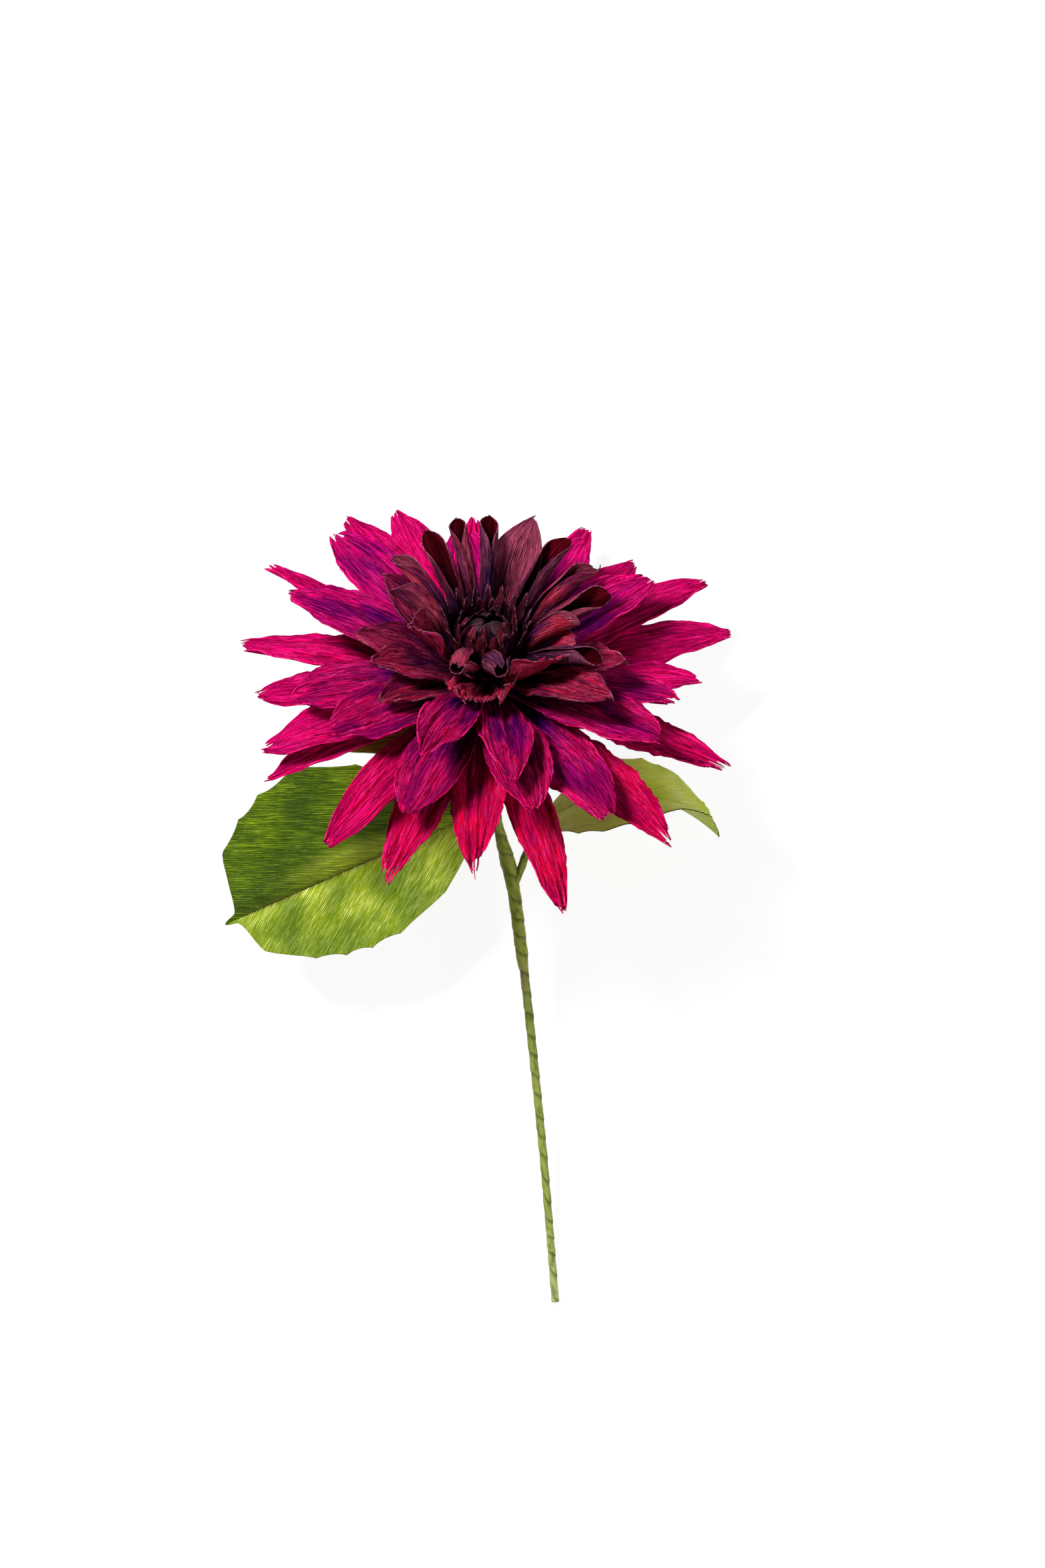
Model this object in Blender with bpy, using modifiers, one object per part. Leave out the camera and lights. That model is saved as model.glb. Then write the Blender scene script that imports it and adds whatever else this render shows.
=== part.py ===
"""A crepe-paper dahlia on a wrapped wire stem, lying on its back as it comes to rest.

Metres, +Z up. Run with: blender --background --python part.py

The flower is modelled in its own frame first: X to its right, Y towards the top of the bloom,
Z the way the bloom is looked at, with the origin at the eye of the bloom. At the end the whole
flower is rolled over until it rests on z = 0.
"""

import math

import bmesh
import bpy
from mathutils import Matrix, Vector
from mathutils.bvhtree import BVHTree

# Paper and glue
PAPER = 0.00035
CLEARANCE = 0.0003

# The bloom: a wound core, and petals glued to it in levels from the back to the eye
HEAD_TILT = math.radians(45)
CORE_RADIUS = 0.0068
CORE_FOOT = 0.0030
CORE_DOME = 0.0040
EYE_HEIGHT = 0.0270
LEVEL_PITCH = PAPER + 0.0011
FRONT_DROOP = 12.0

OUTER_LENGTH = 0.0620
OUTER_WIDTH = 0.0165
MIDDLE_LENGTH = 0.0500
MIDDLE_WIDTH = 0.0190
INNER_LENGTH = 0.0380
INNER_WIDTH = 0.0160
CUP_LENGTH = 0.0230
CUP_WIDTH = 0.0180
QUILL_LENGTH = 0.0290
QUILL_WIDTH = 0.0150
BAND_HEIGHT = 0.0012

FLORET_LENGTHS = (0.0120, 0.0120, 0.0125, 0.0170)
FLORET_WIDTHS = (0.0046, 0.0036, 0.0032, 0.0030)
FLORET_COUNTS = (8, 12, 14, 18)
FLORET_CURLS = (75, 45, 18, -10)

# The green parts behind the bloom
CALYX_RADIUS = 0.0080
CALYX_DEPTH = 0.0060
CALYX_LOBE_LENGTH = 0.0150
CALYX_LOBE_WIDTH = 0.0080
BRACT_LENGTH = 0.0400
BRACT_WIDTH = 0.0110
BRACT_SEAT_Y = -0.0320

# Stem and leaf wires
WIRE_RADIUS = 0.0006
STEM_RADIUS = 0.00190
STEM_TIP_RADIUS = 0.00110
STEM_JOIN = 0.00150
LEAF_WIRE_RADIUS = 0.00120
MIDRIB_RADIUS = 0.00060
ROUTE_STEP = 0.0070

LEFT_LEAF_LENGTH = 0.0790
LEFT_LEAF_UPPER_WIDTH = 0.0345
LEFT_LEAF_LOWER_WIDTH = 0.0240
LEFT_LEAF_ARCH = 0.0020
RIGHT_LEAF_LENGTH = 0.0525
RIGHT_LEAF_FAR_WIDTH = 0.0150
RIGHT_LEAF_NEAR_WIDTH = 0.0190
RIGHT_LEAF_ARCH = 0.0130
LEAF_SCALLOPS = 6
SCALLOP_DEPTH = 0.07
DRIP_TIP_START = 0.90
DRIP_TIP_SHARE = 0.35

# How the flower is weighed and how often it may roll before it lies still
STEEL_TO_PAPER = 12.0
MOST_ROLLS = 12

MAGENTA = (0.62, 0.01, 0.12)
PLUM = (0.24, 0.01, 0.09)
WINE = (0.10, 0.01, 0.04)
LEAF_GREEN = (0.12, 0.18, 0.01)
PALE_GREEN = (0.28, 0.33, 0.10)
OLIVE = (0.16, 0.11, 0.02)
STEEL = (0.45, 0.44, 0.42)

# Degrees round the bloom (0 is the flower's right, 90 its top), share of the level's length,
# degrees of lift added to the level's own and, where a petal is cut narrower or wider, share of
# the level's width. Neighbours lie on different levels.
OUTER_BACK = [
    (18, 1.08, 2), (49, 0.95, 2), (79, 0.93, 0), (111, 1.10, 3), (150, 1.10, 12, 0.5),
    (181, 0.95, 1), (211, 0.98, 0, 0.95), (247, 1.04, 0), (286, 1.12, -4), (339, 1.06, 0),
]
OUTER_FRONT = [
    (1, 0.86, -1, 0.9), (31, 1.08, -1, 0.95), (62, 0.93, 1), (94, 0.88, 2, 0.9), (124, 1.08, 1),
    (167, 1.06, -4, 0.75), (200, 0.98, 0), (232, 1.05, 0), (267, 0.93, -2), (312, 1.13, -3),
]
MIDDLE_BACK = [
    (343, 0.98, 0), (58, 0.95, 1), (98, 0.92, 0), (136, 1.17, 2), (195, 1.00, 0),
    (249, 1.06, -2), (300, 1.18, -3),
]
MIDDLE_FRONT = [
    (29, 0.97, 0), (163, 1.09, 0), (218, 0.96, 0), (283, 1.08, -3), (321, 1.10, 0),
]
INNER_BACK = [
    (346, 0.98, 0), (279, 1.36, -4), (219, 0.86, 0), (178, 0.88, 0),
]
INNER_FRONT = [(316, 1.20, 0), (252, 1.34, -5), (201, 0.84, 0), (148, 0.90, 3)]
CUPS = [(197, 1.00, 0, 0.8), (266, 1.05, -10, 1.25), (322, 1.22, -6)]
QUILLS = [
    (22, 1.10, -5), (3, 1.06, -9), (344, 0.98, -5), (325, 0.94, -10), (280, 0.70, 0, 1.1),
    (249, 0.70, 0, 1.1), (169, 0.92, 2), (149, 1.04, 0), (127, 1.07, 3), (107, 1.04, 0),
    (88, 1.07, 4), (67, 1.18, -4, 1.2), (44, 1.08, -2),
]


def level(length, width, lift, curl, cup, widest=0.5, foot=0.25, taper=1.7, tip=0.06,
          droop=FRONT_DROOP):
    """The pattern that every petal of a level is cut and shaped by. Angles are in degrees."""
    return {
        "length": length, "width": width, "lift": lift, "curl": curl, "cup": cup,
        "widest": widest, "foot": foot, "taper": taper, "tip": tip, "droop": droop,
    }


OUTER_BACK_LEVEL = level(OUTER_LENGTH, OUTER_WIDTH, 11, -16, 20, 0.55, 0.24, 2.0, 0.16)
OUTER_FRONT_LEVEL = level(OUTER_LENGTH, OUTER_WIDTH, 17, -16, 22, 0.55, 0.24, 2.0, 0.16)
MIDDLE_BACK_LEVEL = level(MIDDLE_LENGTH, MIDDLE_WIDTH, 24, -14, 26, 0.56, 0.25, 1.9)
MIDDLE_FRONT_LEVEL = level(MIDDLE_LENGTH, MIDDLE_WIDTH, 30, -16, 28, 0.56, 0.25, 1.9)
INNER_BACK_LEVEL = level(INNER_LENGTH, INNER_WIDTH, 38, -14, 34, 0.6, 0.28)
INNER_FRONT_LEVEL = level(INNER_LENGTH, INNER_WIDTH, 44, -14, 34, 0.6, 0.28)
CUP_LEVEL = level(CUP_LENGTH, CUP_WIDTH, 50, 6, 56, 0.7, 0.3, 2.2, 0.6)
QUILL_LEVEL = level(QUILL_LENGTH, QUILL_WIDTH, 60, -22, 150, 0.6, 0.26, 3.0, 0.75,
                    FRONT_DROOP / 2)


def clear_scene():
    for old in list(bpy.data.objects):
        bpy.data.objects.remove(old)


def paint(name, colour, roughness=0.8, metallic=0.0):
    made = bpy.data.materials.get(name) or bpy.data.materials.new(name)
    made.use_nodes = True
    shader = made.node_tree.nodes["Principled BSDF"]
    shader.inputs["Base Color"].default_value = (*colour, 1.0)
    shader.inputs["Roughness"].default_value = roughness
    shader.inputs["Metallic"].default_value = metallic
    return made


def add_part(name, mesh, look, parent):
    part = bpy.data.objects.new(name, mesh)
    part.data.materials.append(look)
    part.parent = parent
    bpy.data.collections["paper_dahlia"].objects.link(part)
    return part


def add_sheet(name, patches, look, parent):
    """One cut sheet of crepe. A patch is (columns, rows, place), and place(across, along) gives
    a point of the sheet's middle for across from -1 to 1 and along from 0 to 1."""
    sheet = bmesh.new()
    for columns, rows, place in patches:
        grid = bmesh.ops.create_grid(sheet, x_segments=columns, y_segments=rows, size=1)
        for vertex in grid["verts"]:
            vertex.co = place(vertex.co.x, (vertex.co.y + 1) / 2)
    bmesh.ops.remove_doubles(sheet, verts=sheet.verts, dist=1e-5)
    bmesh.ops.recalc_face_normals(sheet, faces=sheet.faces)
    mesh = bpy.data.meshes.new(name)
    sheet.to_mesh(mesh)
    sheet.free()
    part = add_part(name, mesh, look, parent)
    thick = part.modifiers.new("paper", "SOLIDIFY")
    thick.thickness = PAPER
    thick.offset = 0
    return part


def arc(length, lift, curl, along):
    """How far out and how far up a petal has come, and its slope, on an arc that starts at lift."""
    start = math.radians(lift)
    slope = start + math.radians(curl) * along
    turned = math.radians(curl) or 1e-6
    out = length * (math.sin(start + turned * along) - math.sin(start)) / turned
    up = length * (math.cos(start) - math.cos(start + turned * along)) / turned
    return out, up, slope


def outline(pattern, along):
    """Half the petal's width, as a share of its greatest half width."""
    widest, foot, tip = pattern["widest"], pattern["foot"], pattern["tip"]
    if along < widest:
        return foot + (1 - foot) * math.sin(math.pi / 2 * along / widest) ** 1.5
    return tip + (1 - tip) * (1 - ((along - widest) / (1 - widest)) ** pattern["taper"])


def petal(pattern, row, foot_radius, foot_height, hug=False):
    """The place function of one petal in the head's frame. hug starts it on the circle of a band."""
    azimuth, reach, lift, *breadth = row
    turn = math.radians(azimuth)
    outward = Vector((math.cos(turn), math.sin(turn), 0))
    sideways = Vector((-math.sin(turn), math.cos(turn), 0))
    droop = pattern["droop"] * (1 - math.sin(turn)) / 2
    start = pattern["lift"] + lift - droop
    full = pattern["cup"]
    half_width = pattern["width"] / 2 * (breadth[0] if breadth else 1)
    foot_half = pattern["width"] / 2 * pattern["foot"] if hug else half_width * pattern["foot"]
    foot_bend = math.degrees(foot_half / foot_radius) if hug else full / 3

    def place(across, along):
        out, up, slope = arc(pattern["length"] * reach, start, pattern["curl"], along)
        half = half_width * outline(pattern, along) if along > 1e-6 else foot_half
        bend = math.radians(foot_bend + (full - foot_bend) * min(1.0, along / 0.7))
        side = half * math.sin(bend * across) / bend
        rise = half * (1 - math.cos(bend * across)) / bend
        normal = outward * -math.sin(slope) + Vector((0, 0, math.cos(slope)))
        if hug and along < 1e-6:
            normal = -outward
        spine = outward * (foot_radius + out) + Vector((0, 0, foot_height + up))
        return spine + sideways * side + normal * rise

    return place


def add_petals(name, table, pattern, level_number, columns, rows, look, head):
    foot_radius = CORE_RADIUS + CLEARANCE + PAPER
    for row in table:
        place = petal(pattern, row, foot_radius, level_number * LEVEL_PITCH)
        add_sheet(f"{name}_{row[0]:03d}", [(columns, rows, place)], look, head)


def band(azimuth_low, azimuth_high, radius, foot):
    """The place function of a stretch of a strip's uncut edge, wound round the core."""

    def place(across, along):
        turn = math.radians(azimuth_low + (azimuth_high - azimuth_low) * (across + 1) / 2)
        return Vector((radius * math.cos(turn), radius * math.sin(turn), foot + BAND_HEIGHT * along))

    return place


def add_strip(name, table, pattern, radius, foot, columns, rows, look, head):
    """A strip of crepe cut into petals along one edge and wound once round the core."""
    half_foot = math.degrees(pattern["width"] / 2 * pattern["foot"] / radius)
    patches = []
    stretches = sorted(table)
    for number, row in enumerate(stretches):
        azimuth = row[0]
        following = stretches[(number + 1) % len(stretches)][0]
        if following <= azimuth:
            following += 360
        place = petal(pattern, row, radius, foot + BAND_HEIGHT, hug=True)
        patches.append((columns, rows, place))
        patches.append((columns, 1, band(azimuth - half_foot, azimuth + half_foot, radius, foot)))
        gap = following - azimuth - 2 * half_foot
        bridge = band(azimuth + half_foot, azimuth + half_foot + gap, radius, foot)
        patches.append((max(1, round(gap / 20)), 1, bridge))
    return add_sheet(name, patches, look, head)


def add_turned(name, profile, look, head, steps=24):
    """A solid turned about the head's axis from (radius, height) points, outer side top to bottom."""
    mesh = bpy.data.meshes.new(name)
    line = bmesh.new()
    dots = [line.verts.new((radius, 0, height)) for radius, height in profile]
    for first, second in zip(dots, dots[1:]):
        line.edges.new((first, second))
    line.to_mesh(mesh)
    line.free()
    part = add_part(name, mesh, look, head)
    turn = part.modifiers.new("turn", "SCREW")
    turn.steps = turn.render_steps = steps
    turn.use_merge_vertices = True
    turn.merge_threshold = 0.00001
    return part


def smooth_route(points, step):
    """Points a step apart on a smooth curve through the given ones."""
    ends = [points[0] * 2 - points[1], *points, points[-1] * 2 - points[-2]]
    route = []
    for before, start, end, after in zip(ends, ends[1:], ends[2:], ends[3:]):
        count = max(1, round((end - start).length / step))
        for number in range(count):
            u = number / count
            route.append(
                0.5 * (2 * start + (end - before) * u
                       + (2 * before - 5 * start + 4 * end - after) * u ** 2
                       + (3 * start - before - 3 * end + after) * u ** 3)
            )
    return [*route, points[-1]]


def add_wire(name, route, radii, look, parent, sides=2):
    """A round wire along a route, as a closed mesh, with a radius for each of its points."""
    curve = bpy.data.curves.new(name, "CURVE")
    curve.dimensions = "3D"
    curve.bevel_depth = 1.0
    curve.bevel_resolution = sides
    curve.use_fill_caps = True
    curve.twist_mode = "MINIMUM"
    spline = curve.splines.new("POLY")
    spline.points.add(len(route) - 1)
    for point, place, radius in zip(spline.points, route, radii):
        point.co = (*place, 1)
        point.radius = radius
    guide = bpy.data.objects.new(name + "_guide", curve)
    bpy.context.scene.collection.objects.link(guide)
    graph = bpy.context.evaluated_depsgraph_get()
    mesh = bpy.data.meshes.new_from_object(guide.evaluated_get(graph))
    bpy.data.objects.remove(guide)
    closed = bmesh.new()
    closed.from_mesh(mesh)
    bmesh.ops.remove_doubles(closed, verts=closed.verts, dist=1e-6)
    closed.to_mesh(mesh)
    closed.free()
    mesh.name = name
    mesh.materials.clear()
    return add_part(name, mesh, look, parent)


def cut(part, cutter):
    """Takes the cutter's shape out of the part, and keeps the cutter out of sight."""
    bore = part.modifiers.new("bore", "BOOLEAN")
    bore.object = cutter
    bore.solver = "EXACT"
    cutter.hide_render = True
    cutter.display_type = "WIRE"
    for holder in list(cutter.users_collection):
        holder.objects.unlink(cutter)
    bpy.data.collections["cutters"].objects.link(cutter)


def leaf_half(frame, length, width, fullness, side, arch, fold, twist):
    """The place function of one half of a leaf. The frame's X runs along the midrib and Z is the
    leaf's face. side is 1 or -1, arch bows the midrib, and the half is folded up by fold at the
    foot of the leaf and by twist more at its tip, in radians."""

    def place(across, along):
        inward = (across + 1) / 2
        scallop = SCALLOP_DEPTH * (abs(math.sin(LEAF_SCALLOPS * math.pi * along)) - 1)
        body = max(0.0, math.sin(math.pi * along)) ** fullness
        if along > DRIP_TIP_START:
            body *= DRIP_TIP_SHARE
        half = width * (0.03 + 0.97 * body * (1 + scallop))
        reach = CLEARANCE / 2 + half * inward
        angle = fold + twist * along ** 2
        rise = arch * 4 * along * (1 - along) + reach * math.sin(angle)
        return frame @ Vector((length * along, side * reach * math.cos(angle), rise))

    return place


def looking(origin, towards, face):
    """A frame at origin with X towards a point and Z as near as can be to face."""
    ahead = (towards - origin).normalized()
    aside = face.cross(ahead).normalized()
    up = ahead.cross(aside)
    turned = Matrix((ahead, aside, up)).transposed().to_4x4()
    return Matrix.Translation(origin) @ turned


def millimetres(*place):
    return Vector(place) / 1000


def add_leaf(frame, length, arch, halves, look, parent):
    """A leaf glued up from two halves along its midrib."""
    for name, side, width, fullness, fold, twist in halves:
        place = leaf_half(frame, length, width, fullness, side, arch, fold, twist)
        add_sheet(name, [(3, 2 * LEAF_SCALLOPS, place)], look, parent)


def midrib(frame, length, arch):
    """Where a leaf's wire runs, glued behind the seam of its two halves."""
    below = PAPER + CLEARANCE + MIDRIB_RADIUS
    shares = (0.04, 0.25, 0.5, 0.72, 0.9)
    return [frame @ Vector((length * s, 0, arch * 4 * s * (1 - s) - below)) for s in shares]


def add_leaf_wire(name, start, frame, length, arch, look, parent):
    """The paper-covered wire of a leaf: its petiole, from the stem, and then its midrib."""
    ribs = midrib(frame, length, arch)
    route = smooth_route([*start, *ribs], ROUTE_STEP)
    rib_start = min(range(len(route)), key=lambda n: (route[n] - ribs[0]).length)
    radii = []
    for number in range(len(route)):
        share = max(0.0, min(1.0, (number - rib_start + 3) / 3))
        radii.append(LEAF_WIRE_RADIUS + (MIDRIB_RADIUS - LEAF_WIRE_RADIUS) * share)
    return add_wire(name, route, radii, look, parent)


def stem_radius(share):
    """The wrapped stem is thick where the leaf wires are bound in, and slim below them."""
    if share < 0.45:
        return STEM_RADIUS + (STEM_JOIN - STEM_RADIUS) * (share / 0.45) ** 3
    if share < 0.48:
        return STEM_JOIN
    return STEM_JOIN * 0.86 + (STEM_TIP_RADIUS - STEM_JOIN * 0.86) * (share - 0.48) / 0.52


def world_points(part):
    graph = bpy.context.evaluated_depsgraph_get()
    shown = part.evaluated_get(graph)
    mesh = shown.to_mesh()
    mesh.calc_loop_triangles()
    points = [shown.matrix_world @ vertex.co for vertex in mesh.vertices]
    triangles = [tuple(triangle.vertices) for triangle in mesh.loop_triangles]
    shown.to_mesh_clear()
    return points, triangles


def balance_point(parts):
    """The centre of mass, with steel counted at its own weight against paper."""
    total, moment = 0.0, Vector()
    for part in parts:
        points, triangles = world_points(part)
        density = STEEL_TO_PAPER if part.data.materials[0].name == "steel" else 1.0
        for first, second, third in triangles:
            a, b, c = points[first], points[second], points[third]
            weight = density * a.dot(b.cross(c)) / 6
            total += weight
            moment += weight * (a + b + c) / 4
    return moment / total


def lay_down(flower, parts):
    """Rolls the flower onto the face of its hull that lies under its centre of mass until it
    stays there, then sets it on z = 0 with the middle of its box over the origin."""
    for _ in range(MOST_ROLLS):
        bpy.context.view_layer.update()
        centre = balance_point(parts)
        hull = bmesh.new()
        for part in parts:
            for point in world_points(part)[0]:
                hull.verts.new(point)
        made = bmesh.ops.convex_hull(hull, input=hull.verts)
        faces = [f for f in made["geom"] if isinstance(f, bmesh.types.BMFace)]
        tree = BVHTree.FromPolygons(
            [v.co.copy() for v in hull.verts], index_faces(hull, faces)
        )
        _, normal, _, _ = tree.ray_cast(centre, Vector((0, 0, -1)))
        hull.free()
        if normal.z > 0:
            normal.negate()
        roll = normal.rotation_difference(Vector((0, 0, -1)))
        about = Matrix.Translation(centre) @ roll.to_matrix().to_4x4()
        flower.matrix_world = about @ Matrix.Translation(-centre) @ flower.matrix_world
        if roll.angle < 1e-5:
            break
    bpy.context.view_layer.update()
    cloud = [point for part in parts for point in world_points(part)[0]]
    low = Vector([min(point[axis] for point in cloud) for axis in range(3)])
    high = Vector([max(point[axis] for point in cloud) for axis in range(3)])
    middle = (low + high) / 2
    move = Matrix.Translation((-middle.x, -middle.y, -low.z))
    flower.matrix_world = move @ flower.matrix_world
    bpy.context.view_layer.update()


def index_faces(hull, faces):
    hull.verts.index_update()
    return [[vertex.index for vertex in face.verts] for face in faces]


def build_bloom(head):
    magenta = paint("magenta crepe", MAGENTA)
    plum = paint("plum crepe", PLUM)
    wine = paint("wine crepe", WINE)
    levels = [
        ("outer_petal", OUTER_BACK, OUTER_BACK_LEVEL, magenta, 4, 5),
        ("outer_petal", OUTER_FRONT, OUTER_FRONT_LEVEL, magenta, 4, 5),
        ("middle_petal", MIDDLE_BACK, MIDDLE_BACK_LEVEL, plum, 4, 5),
        ("middle_petal", MIDDLE_FRONT, MIDDLE_FRONT_LEVEL, plum, 4, 5),
        ("inner_petal", INNER_BACK, INNER_BACK_LEVEL, wine, 4, 5),
        ("inner_petal", INNER_FRONT, INNER_FRONT_LEVEL, wine, 4, 5),
        ("cupped_petal", CUPS, CUP_LEVEL, wine, 4, 4),
    ]
    for number, (name, table, pattern, look, columns, rows) in enumerate(levels):
        add_petals(name, table, pattern, number, columns, rows, look, head)

    wound = PAPER + CLEARANCE
    first_radius = CORE_RADIUS + CLEARANCE + PAPER / 2
    quill_foot = len(levels) * LEVEL_PITCH + 2 * BAND_HEIGHT
    add_strip("quill_strip", QUILLS, QUILL_LEVEL, first_radius + 4 * wound, quill_foot,
              6, 4, wine, head)
    for ring, (length, width, count, curl) in enumerate(
        zip(FLORET_LENGTHS, FLORET_WIDTHS, FLORET_COUNTS, FLORET_CURLS)
    ):
        pattern = level(length, width, 79 - ring / 2, curl, 30, 0.3, 0.85, 1.7, 0.2, 0)
        table = [(360 / count * (k + 0.5 * (ring % 2)), 1.0, 0) for k in range(count)]
        foot = quill_foot + (4 - ring) * BAND_HEIGHT * 0.7
        add_strip(f"floret_strip_{ring + 1}", table, pattern, first_radius + ring * wound,
                  foot, 2, 3 if curl > 20 else 2, wine, head)
    top = quill_foot + 5 * BAND_HEIGHT
    return top


def build_core(head, top, bore):
    cotton = paint("wound paper", WINE, 0.9)
    dome = [
        (CORE_RADIUS * math.cos(step), top + CORE_DOME * math.sin(step))
        for step in (math.radians(angle) for angle in (90, 65, 40, 18, 0))
    ]
    dome[0] = (0, top + CORE_DOME)
    profile = [*dome, (CORE_RADIUS, -CORE_FOOT), (0, -CORE_FOOT)]
    core = add_turned("bud_core", profile, cotton, head)
    cut(core, bore)


def build_calyx(head, bore):
    green = paint("leaf crepe", LEAF_GREEN)
    rim = -CORE_FOOT - CLEARANCE
    under = rim - CALYX_DEPTH
    profile = [(0, rim), (CALYX_RADIUS, rim), (CALYX_RADIUS * 0.9, rim - CALYX_DEPTH * 0.4),
               (CALYX_RADIUS * 0.55, rim - CALYX_DEPTH * 0.8), (STEM_RADIUS, under), (0, under)]
    cup = add_turned("calyx_cup", profile, green, head)
    cut(cup, bore)
    lobes = level(CALYX_LOBE_LENGTH, CALYX_LOBE_WIDTH, 10, -30, 16, 0.3, 0.7, 1.3, 0.06)
    table = [(36 + 72 * k, 1.0, 0) for k in range(5)]
    star = CALYX_RADIUS + CLEARANCE + PAPER / 2
    add_strip("calyx_star", table, lobes, star, rim - BAND_HEIGHT * 1.5, 2, 3, green, head)
    return under


def main():
    clear_scene()
    for name in ("paper_dahlia", "cutters"):
        bpy.context.scene.collection.children.link(bpy.data.collections.new(name))
    flower = bpy.data.objects.new("flower", None)
    head = bpy.data.objects.new("head", None)
    for guide in (flower, head):
        bpy.context.scene.collection.objects.link(guide)
    head.parent = flower
    axis = Vector((0, math.sin(HEAD_TILT), math.cos(HEAD_TILT)))
    tilt = Matrix.Rotation(-HEAD_TILT, 4, "X")
    head.matrix_world = Matrix.Translation(-EYE_HEIGHT * axis) @ tilt
    place_head = head.matrix_world.copy()

    # The stem leaves the calyx on the head's axis and bends back into line with itself
    under = -CORE_FOOT - CLEARANCE - CALYX_DEPTH
    wire_points = [
        place_head @ Vector((0, 0, 0.006)),
        place_head @ Vector((0, 0, under)),
        millimetres(0.6, -39.5, -36.5),
        millimetres(2.6, -56.5, -43.5),
        millimetres(6.6, -74.5, -47.5),
        millimetres(12.0, -120, -57),
        millimetres(16.4, -160, -65),
        millimetres(20.0, -202, -73),
    ]
    route = smooth_route(wire_points, ROUTE_STEP)
    steel = paint("steel", STEEL, 0.4, 1.0)
    tape = paint("stem crepe", PALE_GREEN)
    add_wire("stem_wire", route, [WIRE_RADIUS] * len(route), steel, flower)
    bore_radius = WIRE_RADIUS + CLEARANCE
    straight = [route[0] + (route[0] - route[1]) * 0.2, *route[1:-1],
                route[-1] + (route[-1] - route[-2]) * 0.5]
    bore = add_wire("bore_guide", straight, [bore_radius] * len(straight), steel, flower)
    seat = place_head @ Vector((0, 0, under - CLEARANCE))
    wrapped = [p for p in route if (p - seat).dot(axis) < -ROUTE_STEP * 0.4]
    wrapped = [seat, *wrapped]
    wrapped[-1] = wrapped[-1] + (wrapped[-2] - wrapped[-1]).normalized() * CLEARANCE
    count = len(wrapped) - 1
    radii = [stem_radius(number / count) for number in range(count + 1)]
    wrap = add_wire("stem_wrap", wrapped, radii, tape, flower)
    cut(wrap, bore)

    top = build_bloom(head)
    build_core(head, top, bore)
    build_calyx(head, bore)

    green = paint("leaf crepe", LEAF_GREEN)
    pale = paint("stem crepe", PALE_GREEN)
    left = looking(millimetres(-5, -55.5, -44), millimetres(-78.5, -88, -47), Vector((0, 0, 1)))
    left_halves = [
        ("left_leaf_upper_half", -1, LEFT_LEAF_UPPER_WIDTH, 0.5, 0.15, 0.0),
        ("left_leaf_lower_half", 1, LEFT_LEAF_LOWER_WIDTH, 0.8, 0.15, 0.0),
    ]
    add_leaf(left, LEFT_LEAF_LENGTH, LEFT_LEAF_ARCH, left_halves, green, flower)
    left_start = [millimetres(0.6, -59.5, -44.6), millimetres(-2.0, -57, -45)]
    add_leaf_wire("left_leaf_wire", left_start, left, LEFT_LEAF_LENGTH, LEFT_LEAF_ARCH, tape, flower)
    right = looking(millimetres(16, -57, -49), millimetres(68, -61.6, -52), Vector((0, 0.75, 0.66)))
    right_halves = [
        ("right_leaf_far_half", 1, RIGHT_LEAF_FAR_WIDTH, 0.8, 0.1, 0.1),
        ("right_leaf_near_half", -1, RIGHT_LEAF_NEAR_WIDTH, 0.6, 0.0, 1.2),
    ]
    add_leaf(right, RIGHT_LEAF_LENGTH, RIGHT_LEAF_ARCH, right_halves, pale, flower)
    right_start = [millimetres(9.4, -72.5, -46.6), millimetres(12.6, -65, -48.0)]
    add_leaf_wire("right_leaf_wire", right_start, right, RIGHT_LEAF_LENGTH, RIGHT_LEAF_ARCH,
                  tape, flower)

    olive = paint("olive crepe", OLIVE)
    neck = min(route, key=lambda p: abs(p.y - BRACT_SEAT_Y))
    seat = neck - Vector((STEM_RADIUS + CLEARANCE, 0, 0))
    bract = looking(seat, millimetres(-41, -36.5, -36.5), Vector((0, 0.5, 0.86)))
    cut_shape = level(BRACT_LENGTH, BRACT_WIDTH, 0, 0, 24, 0.4, 0.25, 1.3, 0.05)

    def bract_place(across, along):
        half = BRACT_WIDTH / 2 * outline(cut_shape, along)
        return bract @ Vector((BRACT_LENGTH * along, half * across, 0.15 * half * across ** 2))

    add_sheet("bract", [(2, 5, bract_place)], olive, flower)

    parts = list(bpy.data.collections["paper_dahlia"].objects)
    lay_down(flower, parts)


main()
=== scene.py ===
"""The looks of a crepe-paper dahlia that lies on a table, made piece by piece over its solids."""
import math

import bpy
from mathutils import Euler, Matrix, Vector, noise


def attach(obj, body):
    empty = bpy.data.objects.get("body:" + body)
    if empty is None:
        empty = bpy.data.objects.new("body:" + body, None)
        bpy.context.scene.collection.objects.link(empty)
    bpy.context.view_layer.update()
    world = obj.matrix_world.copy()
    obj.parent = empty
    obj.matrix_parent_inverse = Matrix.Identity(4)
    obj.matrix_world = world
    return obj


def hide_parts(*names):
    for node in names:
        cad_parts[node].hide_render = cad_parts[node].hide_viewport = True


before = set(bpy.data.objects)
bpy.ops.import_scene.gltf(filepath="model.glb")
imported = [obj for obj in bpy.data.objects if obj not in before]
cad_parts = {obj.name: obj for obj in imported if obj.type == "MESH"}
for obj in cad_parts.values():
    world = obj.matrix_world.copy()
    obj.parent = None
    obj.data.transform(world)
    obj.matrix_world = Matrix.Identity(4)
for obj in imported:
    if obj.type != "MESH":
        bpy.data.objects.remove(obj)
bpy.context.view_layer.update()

# THE STEM WIRE
# A length of bright drawn steel florist's wire, cut off with pliers. It runs up the middle of
# the whole flower, and only its cut end shows at the foot of the stem.


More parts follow.
